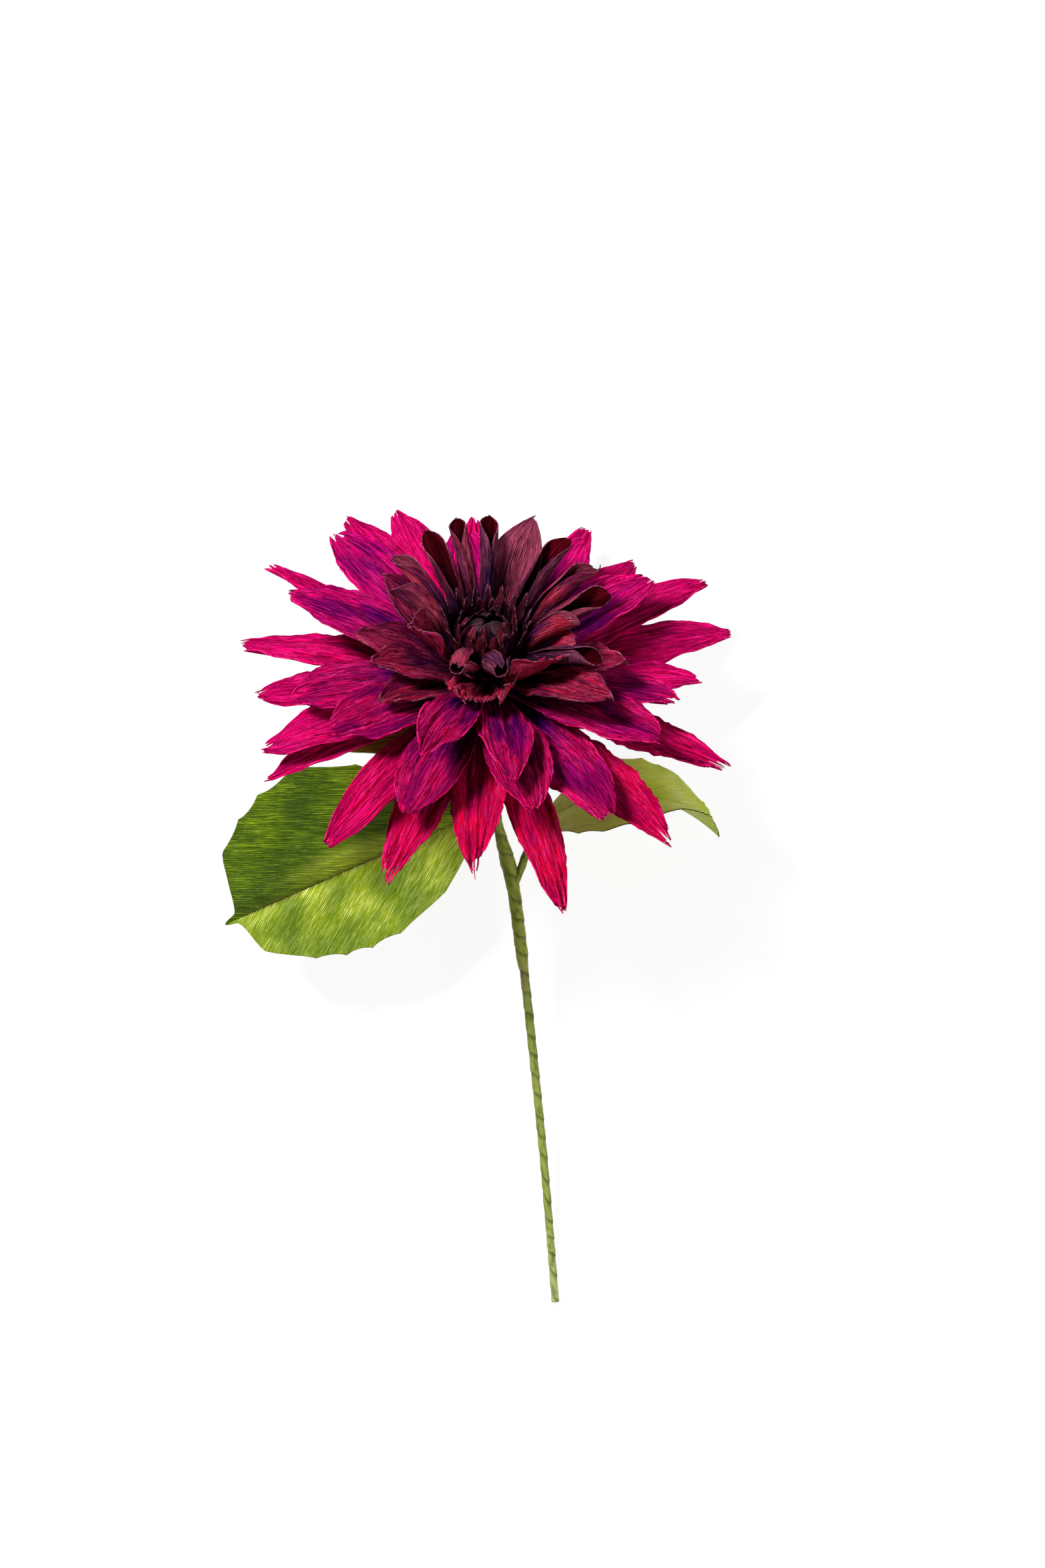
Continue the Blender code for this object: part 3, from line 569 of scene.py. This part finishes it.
magenta_edge = dyed_crepe("pink_cut_edge", [(0.0, "#600038"), (0.4, "#c00050"), (1.0, "#ff1078")],
                          "#a8003c", "#ff70a8", 0.3, 0.2)
LONG = 1.3
for rows, lift, number in ((INNER_FRONT, 44, 5), (INNER_BACK, 38, 4)):
    for row in rows:
        # The two longest, at the front, are cut from the plum sheet of the level below
        plum = row[1] > LONG
        look, edge = (plum_crepe, magenta_edge) if plum else (wine_crepe, paper_edge)
        petals("wine_petal", "inner_petal", [row], cut(38, 16, lift, -14, 34, 0.6, 0.28), number,
               44, 60, [look, look, edge], "plum_crepe" if plum else "wine_crepe", front)

MIDDLE_FRONT = [
    (29, 0.97, 0), (163, 1.09, 0), (218, 0.96, 0), (283, 1.08, -3), (321, 1.10, 0),
]
MIDDLE_BACK = [
    (343, 0.98, 0), (58, 0.95, 1), (98, 0.92, 0), (136, 1.17, 2), (195, 1.00, 0),
    (249, 1.06, -2), (300, 1.18, -3),
]
for rows, number, lift, curl, cup in ((MIDDLE_FRONT, 3, 30, -16, 28),
                                      (MIDDLE_BACK, 2, 24, -14, 26)):
    petals("plum_petal", "middle_petal", rows,
           cut(50, 19, lift, curl, cup, 0.62, 0.25, 2.3, 0.16, jag=0.05), number, 48, 60,
           [plum_crepe, plum_crepe, magenta_edge], "plum_crepe", front)

OUTER_FRONT = [
    (1, 0.86, -1, 0.9), (31, 1.08, -1, 0.95, {"frayed": (2, 3.0)}), (62, 0.93, 1),
    (94, 0.88, 2, 0.9), (124, 1.08, 1), (167, 1.06, -4, 0.95, {"frayed": (2, 1.5), "jag": 0.06}),
    (200, 0.98, 0, 1, {"turn": 2.5}), (232, 1.10, 0, 0.92, {"turn": 3}),
    (267, 0.96, -2, 1, {"jag": 0.07, "frayed": (6, 6.0), "turn": 1}),
    (312, 1.13, -3, 1, {"jag": 0.10, "frayed": (3, 2.5)}),
]
OUTER_BACK = [
    (18, 1.08, 2, 1), (49, 0.95, 2), (79, 0.93, 0), (111, 1.10, 3), (150, 1.10, 12, 0.5),
    (181, 0.95, 1, 1, {"jag": 0.08}), (211, 1.00, 0, 0.68, {"turn": -5.5}),
    (247, 1.05, 0, 0.95, {"jag": 0.07, "frayed": (5, 5.0)}),
    (286, 1.12, -4, 0.82, {"jag": 0.07, "frayed": (5, 6.0)}),
    (339, 1.06, 0, 1, {"jag": 0.12, "frayed": (3, 2.0)}),
]
REDDEST = 285  # degrees round the bloom


def reddened(azimuth):
    """The outer petals at the front are the most crimson."""
    return max(0.0, math.cos(math.radians(azimuth - REDDEST))) ** 2


magenta_crepe = dyed_crepe("magenta_crepe", [
    (0.0, "#400030"), (0.3, "#980048"), (0.55, "#ec0060"), (1.0, "#ff0078")],
    "#6c0028", "#ff349c", 0.7, 0.5, "#f00020", pool="#840050", pooled=0.5)
for rows, number, lift, cup in ((OUTER_FRONT, 1, 17, 22), (OUTER_BACK, 0, 11, 20)):
    petals("magenta_petal", "outer_petal", rows,
           cut(62, 16.5, lift, -16, cup, 0.55, 0.24, 2.0, 0.16), number, 48, 60,
           [magenta_crepe, magenta_crepe, magenta_edge], "magenta_crepe", reddened)

# THE CALYX
# A turned paper cup and a strip of leaf-green crepe cut into five lobes. Together they close the
# underside of the bloom and hide the glued feet of its petals.
CALYX_RADIUS = 8.0
CALYX_DEPTH = 6.0
CALYX_RIM = -CORE_FOOT - GAP
CALYX_SLOPE = 9  # mm, down its side
CALYX_FOLDS = 18
STEM_RADIUS = 1.9
CUP_PROFILE = [  # radius, share of the depth
    (CALYX_RADIUS, 0), (CALYX_RADIUS * 0.9, 0.4), (CALYX_RADIUS * 0.55, 0.8), (STEM_RADIUS, 1.0),
]
leaf_crepe = dyed_crepe("leaf_green_crepe", [
    (0.0, "#4a5c04"), (0.5, "#5f7803"), (1.0, "#6b8500")], "#2e4100", "#b0c63c", 0.5)
leaf_edge = dyed_crepe("leaf_cut_edge", [(0.0, "#5c6e10"), (1.0, "#8a9c30")], "#4a5c04",
                       "#c4d060", 0.4)


def cup_place(across, along):
    turn = math.pi * across
    at = along * (len(CUP_PROFILE) - 1)
    number = min(int(at), len(CUP_PROFILE) - 2)
    (r0, h0), (r1, h1) = CUP_PROFILE[number:number + 2]
    radius = r0 + (r1 - r0) * (at - number)
    height = CALYX_RIM - CALYX_DEPTH * (h0 + (h1 - h0) * (at - number))
    radius *= 1 - 0.03 * abs(math.sin(turn * CALYX_FOLDS / 2)) * (1 - along)
    point = head @ Vector((radius * math.cos(-turn), radius * math.sin(-turn), height))
    return point, turn * CALYX_RADIUS, along * CALYX_SLOPE


cup = crepe_sheet("calyx_bowl", [(96, 24, cup_place, 0.5)], [leaf_crepe, leaf_crepe, leaf_edge])
hand_in(cup, "leaf_crepe", "calyx_cup")
lobes = crepe_strip("calyx_lobes", [(36 + 72 * k, 1.0, 0) for k in range(5)],
                    cut(15, 8, 10, -30, 16, 0.3, 0.7, 1.3, 0.06, pleat=0.15, ruffle=0.3),
                    CALYX_RADIUS + GAP + PAPER / 2, CALYX_RIM - BAND * 1.5, 20, 24,
                    [leaf_crepe, leaf_crepe, leaf_edge], lambda azimuth: 0.5)
hand_in(lobes, "leaf_crepe", "calyx_star")

# THE WRAPPED STEM
# Waxed crepe tape wound in a steep spiral over the wire and the leaf wires, each turn lapping the
# last. It is thick where the leaves are bound in and slim below them.
STEM_TIP = 1.1
LAP_SHARE = 0.14  # of a turn, over which one turn of tape drops to the last
under = CALYX_RIM - CALYX_DEPTH


def smooth_route(points, step):
    """Points about a step apart on a smooth curve through the given ones."""
    ends = [points[0] * 2 - points[1], *points, points[-1] * 2 - points[-2]]
    route = []
    for before, start, end, after in zip(ends, ends[1:], ends[2:], ends[3:]):
        count = max(1, round((end - start).length / step))
        for number in range(count):
            u = number / count
            bend = 2 * before - 5 * start + 4 * end - after
            sway = 3 * start - before - 3 * end + after
            route.append(0.5 * (2 * start + (end - before) * u + bend * u ** 2 + sway * u ** 3))
    return [*route, points[-1]]


def taped(name, route, radius_at, finish, around=48, pitch=6.2, lap=0.22):
    """A wire wrapped with tape along a route, closed at both ends. radius_at takes the share of
    its length, pitch is how far the tape climbs in a turn, and lap how high its edge stands."""
    walked, total = [0.0], 0.0
    for first, second in zip(route, route[1:]):
        total += (second - first).length
        walked.append(total)
    points, grain, share, faces = [], [], [], []
    aside = (route[1] - route[0]).orthogonal().normalized()
    for number, centre in enumerate(route):
        ahead = route[min(number + 1, len(route) - 1)] - route[max(number - 1, 0)]
        aside = (aside - ahead * aside.dot(ahead) / ahead.length_squared).normalized()
        third = ahead.normalized().cross(aside)
        for column in range(around):
            turn = column / around
            angle = 2 * math.pi * turn
            climb = walked[number] / pitch + turn
            climb += 0.45 * noise.noise((walked[number] / 14, math.cos(angle) / 2, 3))
            edge = climb % 1.0
            step = edge if edge > LAP_SHARE else 1 - edge / LAP_SHARE * (1 - LAP_SHARE)
            radius = radius_at(walked[number] / total) + lap * (step - 0.5)
            radius += 0.08 * noise.noise((climb * 6, walked[number] / 3, 8))
            points.append(centre + (aside * math.cos(angle) + third * math.sin(angle)) * radius)
            grain += (climb * pitch, turn * 8 + walked[number] * 0.15, 0.5)
            share += (edge, walked[number] / total, 0.5)
    for number in range(len(route) - 1):
        for column in range(around):
            a, b = number * around + column, number * around + (column + 1) % around
            faces.append((a, b, b + around, a + around))
    faces.append(tuple(range(around))[::-1])
    faces.append(tuple(range((len(route) - 1) * around, len(route) * around)))
    return shaped(name, points, faces, grain, share, [finish])


# Waxed tape: sage green crepe with a dull wax shine, darker where one turn laps the next, with
# painted shade in the furrows of its crinkles and a painted highlight on their crests
TAPE_CRINKLE = (2.5, 0.8)  # mm along the tape's breadth and its run
stem_tape = blank("waxed_stem_tape")
grain = add(stem_tape, "Attribute", {"attribute_name": "grain"}, {})
share = add(stem_tape, "Attribute", {"attribute_name": "share"}, {})
parts = add(stem_tape, "SeparateXYZ", {}, {0: share.outputs["Vector"]})
crinkle = add(stem_tape, "Mapping", {}, {
    0: grain.outputs["Vector"], 3: (1 / TAPE_CRINKLE[0], 1 / TAPE_CRINKLE[1], 1)})
ridges = add(stem_tape, "TexNoise", {}, {0: crinkle, "Scale": 1.0, "Detail": 3.0})
down = add(stem_tape, "ValToRGB", {}, {0: parts.outputs[1]})
steps(down, [(0.0, "#94983c"), (0.25, "#909c38"), (0.3, "#8c9834"), (0.42, "#98a040"),
             (0.45, "#949250"), (0.5, "#848c3c"), (0.85, "#8e9844"), (1.0, "#acb870")])
lapped = add(stem_tape, "MapRange", {}, {0: parts.outputs[0], 1: 0.06, 2: 0.34, 3: 0.75, 4: 0.0})
# Painted shade in the crinkles' furrows and painted highlight on their crests
furrow_shade = add(stem_tape, "MapRange", {}, {0: ridges, 1: 0.52, 2: 0.34, 3: 0.0, 4: 0.65})
crest_highlight = add(stem_tape, "MapRange", {}, {0: ridges, 1: 0.55, 2: 0.75, 3: 0.0, 4: 0.4})
colour = layered(stem_tape, down, [("#3a4210", lapped), ("#444c0c", furrow_shade), ("#a8ac6c", crest_highlight)])
raised = add(stem_tape, "Bump", {}, {"Strength": 0.6, "Distance": 0.0003, "Height": ridges})
waxed = add(stem_tape, "BsdfPrincipled", {}, {
    "Base Color": colour, "Roughness": 0.6, "Specular IOR Level": 0.2, "Normal": raised})
add(stem_tape, "OutputMaterial", {}, {"Surface": waxed})


# The share of the stem's length, and its radius there: slim below the calyx, swollen where the
# leaf wires are bound in, and with a step where the thick wrapping ends
STEM_KNOTS = [
    (0.0, STEM_RADIUS), (0.12, 1.5), (0.21, 1.5), (0.265, 2.3), (0.31, 1.9), (0.42, 1.8),
    (0.445, 1.3), (1.0, STEM_TIP),
]


def stem_radius(share):
    for (low, before), (high, after) in zip(STEM_KNOTS, STEM_KNOTS[1:]):
        if share <= high:
            return before + (after - before) * (share - low) / (high - low)
    return STEM_TIP


STEM_POINTS = [head @ Vector((0, 0, under - GAP)), *(Vector(point) for point in (
    (0.6, -39.5, -36.5), (2.6, -56.5, -43.5), (7.0, -74.5, -47.5), (10.0, -97, -52.3),
    (12.6, -120, -57), (16.6, -160, -65), (20.0, -202, -73)))]
stem = taped("taped_stem", smooth_route(STEM_POINTS, 0.35), stem_radius, stem_tape)
hand_in(stem, "stem_tape", "stem_wrap")


# THE LEFT LEAF
# Two halves of leaf-green crepe, cut so that their grain meets in a V, glued along a wire that is
# wrapped with tape. Its edge is scalloped with scissors and its faces are lightly waxed.
def looking(origin, towards, face):
    """A frame at origin with X towards a point and Z as near as can be to face."""
    ahead = (towards - origin).normalized()
    aside = face.cross(ahead).normalized()
    turned = Matrix((ahead, aside, ahead.cross(aside))).transposed().to_4x4()
    return Matrix.Translation(origin) @ turned


SCALLOPS = 7
SCALLOP_DEPTH = 0.05  # of the half's width
TORN_FROM = 0.78  # the share of the length past which a ragged tip is torn
DRIP_FROM = 0.90  # and past which a whole one draws in to a drip tip
DRIP_RUN = 0.055
PETIOLE_RADIUS = 1.2
MIDRIB_RADIUS = 0.6
PETIOLE_TAPER = 14  # mm, over which the wire slims as it comes to the leaf
SEAM_SWELL = (4, 13)  # mm from the midrib: where the swell beside it is full, and where it ends
SHEET_WAVE = (15, 12)  # mm along and across a half
EDGE_WAVE = (5, 9)


def leaf_half(spot, length, width, fullness, slim, side, arch, fold, twist, grain_angle, torn):
    """The place function of a leaf's half. spot's X runs along the midrib and its Z is the leaf's
    face. side is 1 or -1, fold how steeply the half stands up, in radians, and twist how much
    steeper at the tip. grain_angle is how far its grain leans from the midrib, in degrees, and
    torn, from 0 to 1, how ragged its tip is."""
    lean = math.radians(grain_angle)

    def place(across, along):
        outward = (across + 1) / 2
        beat = SCALLOPS * along + 0.5 * side + 0.35 * math.sin(9 * along + side)
        scallop = -SCALLOP_DEPTH * abs(math.sin(math.pi * beat)) ** 0.7
        body = max(0.0, math.sin(math.pi * along)) ** fullness * (1 - slim * max(0, 0.5 - along))
        body *= 1 + torn * max(0, along - TORN_FROM) * 8 * abs(noise.noise((along * 34, side, 8)))
        drip = min(1, max(0, (along - DRIP_FROM) / DRIP_RUN)) * (1 - torn)
        body *= 1 - 0.9 * drip * drip * (3 - 2 * drip)
        half = width * (0.03 * min(1, (1 - along) * 12) + 0.97 * body * (1 + scallop))
        reach = half * outward
        angle = fold + twist * along ** 2
        rise = arch * 4 * along * (1 - along) + reach * math.sin(angle)
        x, y = length * along, reach * math.cos(angle)
        wave = noise.noise((x / SHEET_WAVE[0], side * y / SHEET_WAVE[1], 2 + side))
        rise += 1.8 * wave * outward
        # Beside the midrib the sheet swells and dips into the glued seam
        swell = min(1, reach / SEAM_SWELL[0]) - min(1, reach / SEAM_SWELL[1])
        rise += 2.6 * swell * math.sin(math.pi * along) ** 0.5
        ripple = noise.noise((x / EDGE_WAVE[0], y / EDGE_WAVE[1], 6 + side))
        rise += 0.7 * ripple * outward ** 3
        point = spot @ Vector((x, side * y, rise))
        beside = y * math.cos(lean) - x * math.sin(lean)
        return point, beside, x * math.cos(lean) + y * math.sin(lean)

    return place


# A leaf's crest, its run and its dye's clouds: finer than a petal's, with crests 0.5 mm apart
LEAF_GRAIN = (0.24, 4.5, 8.0, 13.0)


def leaf_crepe_of(name, midrib, body, dark, light, rough, midrib_highlight=None):
    """Waxed leaf crepe: straight fine crests and a soft shine. body is the three colours of its
    dye's clouds, midrib the colour of the painted shade in the crease along the midrib, dark that
    of the painted shade in its furrows and light that of the painted highlight on its crests.
    pulled is the colour of a painted highlight on the swell beside the midrib."""
    leaf = blank(name)
    soft, _, _, clouds, height = grain_of(leaf, *LEAF_GRAIN)
    share = add(leaf, "Attribute", {"attribute_name": "share"}, {})
    parts = add(leaf, "SeparateXYZ", {}, {0: share.outputs["Vector"]})
    cloudy = add(leaf, "ValToRGB", {}, {0: clouds})
    steps(cloudy, [(0.32, body[0]), (0.5, body[1]), (0.68, body[2])])
    washes = []
    # Painted highlight: a pale band on the swell beside the midrib, fading out towards the tip
    if midrib_highlight:
        inner = add(leaf, "MapRange", {"interpolation_type": "SMOOTHSTEP"}, {
            0: parts.outputs[0], 1: -0.45, 2: -0.72, 3: 0.0, 4: 0.75})
        begun = add(leaf, "MapRange", {"interpolation_type": "SMOOTHSTEP"}, {
            0: parts.outputs[1], 1: 0.85, 2: 0.45})
        midrib_highlight_share = add(leaf, "Math", {"operation": "MULTIPLY"}, {0: inner, 1: begun})
        washes.append((midrib_highlight, midrib_highlight_share))
    # Painted shade: the sheet darkens to the midrib colour in the crease along the midrib
    near = add(leaf, "MapRange", {}, {0: parts.outputs[0], 1: -0.98, 2: -0.88, 3: 0.85, 4: 0.0})
    # Painted shade in the furrows of the grain
    furrow_shade = add(leaf, "MapRange", {}, {0: soft, 1: 0.50, 2: 0.36, 3: 0.0, 4: 0.6})
    # Painted sheen: the painted highlight on the crests is strongest in patches
    sheen_patches = add(leaf, "MapRange", {}, {0: clouds, 1: 0.42, 2: 0.64, 3: 0.3, 4: 0.95})
    crest_highlight = add(leaf, "MapRange", {}, {0: soft, 1: 0.52, 2: 0.64, 3: 0.0, 4: sheen_patches})
    washes += [(midrib, near), (dark, furrow_shade), (light, crest_highlight)]
    raised = add(leaf, "Bump", {}, {"Strength": 0.9, "Distance": 0.0003, "Height": height})
    waxed = add(leaf, "BsdfPrincipled", {}, {
        "Base Color": layered(leaf, cloudy, washes), "Roughness": rough,
        "Specular IOR Level": 0.13, "Normal": raised})
    add(leaf, "OutputMaterial", {}, {"Surface": waxed})
    return leaf


def leaf(nodes, spot, length, arch, halves, finishes, wire_start, slot, torn=0):
    """A leaf's halves and its taped wire. halves has each one's name, side, width, fullness, how
    much slimmer it is by the stem, fold, twist and grain angle. The wire passes through the
    points of wire_start and then lies under the midrib."""
    for finish, (name, side, width, fullness, slim, fold, twist, lean) in zip(finishes, halves):
        place = leaf_half(spot, length, width, fullness, slim, side, arch, fold, twist, lean, torn)
        half = crepe_sheet(f"{name}_sheet", [(64, 110, place, 0.5)], [finish, finish, leaf_edge])
        if side > 0:
            half.data.flip_normals()
        hand_in(half, slot, name)
    below = PAPER + GAP + MIDRIB_RADIUS
    ribs = [spot @ Vector((length * s, 0, arch * 4 * s * (1 - s) - below))
            for s in (0.04, 0.25, 0.5, 0.7)]
    route = smooth_route([*(Vector(point) for point in wire_start), *ribs], 0.7)
    reach = sum((b - a).length for a, b in zip(route, route[1:]))
    rib = min(range(len(route)), key=lambda n: (route[n] - ribs[0]).length) / len(route)

    def wire_radius(share):
        slimmed = max(0.0, min(1.0, (share - rib) * reach / PETIOLE_TAPER + 1))
        return PETIOLE_RADIUS - (PETIOLE_RADIUS - MIDRIB_RADIUS) * slimmed

    wire = taped(nodes + "_petiole", route, wire_radius, stem_tape, 16, 4.0, 0.1)
    hand_in(wire, "stem_tape", nodes + "_wire")


# The upper half's crepe is painted darker as painted shade and the lower half's lighter as painted
# light, for how the two folded halves face the lamp
shaded_leaf = leaf_crepe_of("shaded_waxed_leaf_crepe", "#4a4a0c", ("#344c00", "#446000", "#607800"),
                          "#182c00", "#98b418", 0.34, "#98a430")
lit_leaf = leaf_crepe_of("lit_waxed_yellow_leaf_crepe", "#5a5a10", ("#5c7800", "#7c9400", "#a0b408"),
                         "#4a6400", "#e8f090", 0.28)
LEFT_LENGTH = 79
LEFT_ARCH = 2  # how high its midrib arches
left_spot = looking(Vector((-5, -55.5, -44)), Vector((-78.5, -88, -47)), Vector((0, 0, 1)))
leaf("left_leaf", left_spot, LEFT_LENGTH, LEFT_ARCH, [
    ("left_leaf_upper_half", -1, 34.5, 0.5, 0.6, 0.15, 0.0, 24),
    ("left_leaf_lower_half", 1, 24.0, 0.6, 0.0, 0.15, 0.0, 36),
], [shaded_leaf, lit_leaf], [(0.6, -59.5, -44.6), (-2, -57, -45)], "leaf_crepe")

# THE RIGHT LEAF
# A smaller leaf made the same way from paler crepe. It arches away behind the bloom, and its near
# half turns up towards the tip.
# Its colours are the paler crepe's own, painted lighter still as painted light for the light that
# shines through it from behind
pale_leaf = leaf_crepe_of("pale_leaf_crepe", "#8a9430", ("#d8ec48", "#e2f05c", "#eaf47c"),
                          "#bcd424", "#f6fcb4", 0.5)
RIGHT_LENGTH = 52.5
RIGHT_ARCH = 13
right_spot = looking(Vector((16, -57, -49)), Vector((68, -61.6, -52)), Vector((0, 0.75, 0.66)))
leaf("right_leaf", right_spot, RIGHT_LENGTH, RIGHT_ARCH, [
    ("right_leaf_far_half", 1, 15.0, 0.8, 0.0, 0.1, 0.1, 24),
    ("right_leaf_near_half", -1, 19.0, 0.6, 0.0, 0.0, 1.2, 24),
], [pale_leaf, pale_leaf], [(7.6, -76.0, -47.6), (9.8, -70.5, -46.6), (12.4, -64, -47.4)],
    "pale_leaf_crepe", torn=0.6)

# THE BRACT
# One long narrow bract of olive-brown crepe, green on its back, glued to the neck of the stem
# under the tape. It shows between the petals at the left.
BRACT_LENGTH = 40.0
BRACT_WIDTH = 11.0
BRACT_FOOT = -32.0  # where it is glued, down the flower from the eye
neck = min(smooth_route([head @ Vector((0, 0, under)), *STEM_POINTS[1:]], 7.0),
           key=lambda point: abs(point.y - BRACT_FOOT))
bract_spot = looking(neck - Vector((STEM_RADIUS + GAP, 0, 0)), Vector((-41, -36.5, -36.5)),
                     Vector((0, 0.5, 0.86)))
bract_shape = cut(BRACT_LENGTH, BRACT_WIDTH, 0, 0, 24, 0.4, 0.25, 1.3, 0.05)


def bract_place(across, along):
    half = BRACT_WIDTH / 2 * outline(bract_shape, along)
    side, run = half * across, BRACT_LENGTH * along
    rise = 0.15 * half * across ** 2 + 0.4 * noise.noise((side / 1.5, run / 12, 2))
    return bract_spot @ Vector((run, side, rise)), side, run


olive_crepe = dyed_crepe("olive_brown_crepe", [
    (0.0, "#4a3a0c"), (0.5, "#64400f"), (1.0, "#7a5818")], "#38260a", "#a88c48", 0.4)
bract_back = dyed_crepe("bract_green_back", [(0.0, "#5c6e10"), (1.0, "#8a9a50")], "#46540c",
                        "#b8c088", 0.4)
bract = crepe_sheet("olive_bract", [(28, 50, bract_place, 0.5)],
                    [olive_crepe, bract_back, bract_back])
hand_in(bract, "olive_crepe", "bract")

# THE TABLE AND THE LIGHT
# A plain white sheet that keeps the flower's shadow, and big soft lamps. The sheet and the room
# look white to the camera, and in what shines, whatever light falls on them.
SHADOW = 0.22  # what the flower's shadow takes from the white
TABLE_GLOW = 0.87  # its own white, to which the light on it adds
SHADOW_REACH = (0.4, 1.0)  # metres from the bloom, between which the table turns all white
TABLE_HALF = 4.0
TABLE_TOP = -0.0002


def looked_at(material):
    """1 on the rays that show a surface to the camera, straight, by reflection or through glass."""
    rays = add(material, "LightPath", {}, {}).outputs
    first = add(material, "Math", {"operation": "MAXIMUM"}, {
        0: rays["Is Camera Ray"], 1: rays["Is Glossy Ray"]})
    return add(material, "Math", {"operation": "MAXIMUM"}, {
        0: first, 1: rays["Is Transmission Ray"]})


table_white = blank("white_table")
plain = add(table_white, "BsdfDiffuse", {}, {"Color": linear("#f0f0f0")})
shadowed = add(table_white, "BsdfDiffuse", {}, {"Color": (SHADOW, SHADOW, SHADOW, 1)})
spot = add(table_white, "TexCoord", {}, {})
away = add(table_white, "VectorMath", {"operation": "LENGTH"}, {0: spot.outputs["Object"]})
lit = add(table_white, "MapRange", {}, {
    0: away.outputs["Value"], 1: SHADOW_REACH[0], 2: SHADOW_REACH[1], 3: TABLE_GLOW, 4: 1.0})
glow = add(table_white, "Emission", {}, {"Color": (1, 1, 1, 1), "Strength": lit})
shown = add(table_white, "AddShader", {}, {0: shadowed, 1: glow})
both = add(table_white, "MixShader", {}, {0: looked_at(table_white), 1: plain, 2: shown})
add(table_white, "OutputMaterial", {}, {"Surface": both})
corners = [(-TABLE_HALF, -TABLE_HALF), (TABLE_HALF, -TABLE_HALF), (TABLE_HALF, TABLE_HALF),
           (-TABLE_HALF, TABLE_HALF)]
table_mesh = bpy.data.meshes.new("table")
table_mesh.from_pydata([(x, y, TABLE_TOP) for x, y in corners], [], [(0, 1, 2, 3)])
table_mesh.materials.append(table_white)
table = placed("table", table_mesh)

room = bpy.data.worlds.new("white_room")
bpy.context.scene.world = room
room.use_nodes = True
room.node_tree.nodes.clear()
AMBIENT = 0.13
level = add(room, "MapRange", {}, {0: looked_at(room), 3: AMBIENT, 4: 1.0})
sky = add(room, "Background", {}, {"Color": (1, 1, 1, 1), "Strength": level})
add(room, "OutputWorld", {}, {"Surface": sky})
BLOOM = Vector((0.0, 0.05, 0.05))


def lamp(name, place, size, watts):
    """A square soft lamp that points at the bloom. Its place and size are in metres."""
    light = bpy.data.lights.new(name, "AREA")
    light.size, light.energy = size, watts
    hung = placed(name, light)
    hung.location = place
    hung.rotation_euler = (BLOOM - Vector(place)).to_track_quat("-Z", "Y").to_euler()


lamp("soft_key", (-0.5, 0.7, 1.0), 0.3, 23.0)
lamp("soft_fill", (0.9, -0.3, 0.9), 0.8, 7.0)

# THE CAMERA
# It stands a metre from the bloom, square to its own frame, as the flower was seen.
lens = bpy.data.cameras.new("camera")
lens.sensor_width = 36.0
lens.lens = 81.74
lens.clip_end = 50.0
camera = placed("camera", lens)
CAMERA_SPOT = Vector((10.1, -46.1, 1000))  # mm, in the flower's frame
stand = turned_over.to_matrix().to_4x4()
stand.translation = lying @ CAMERA_SPOT
camera.matrix_world = stand
bpy.context.scene.camera = camera
bpy.context.scene.view_settings.view_transform = "Standard"
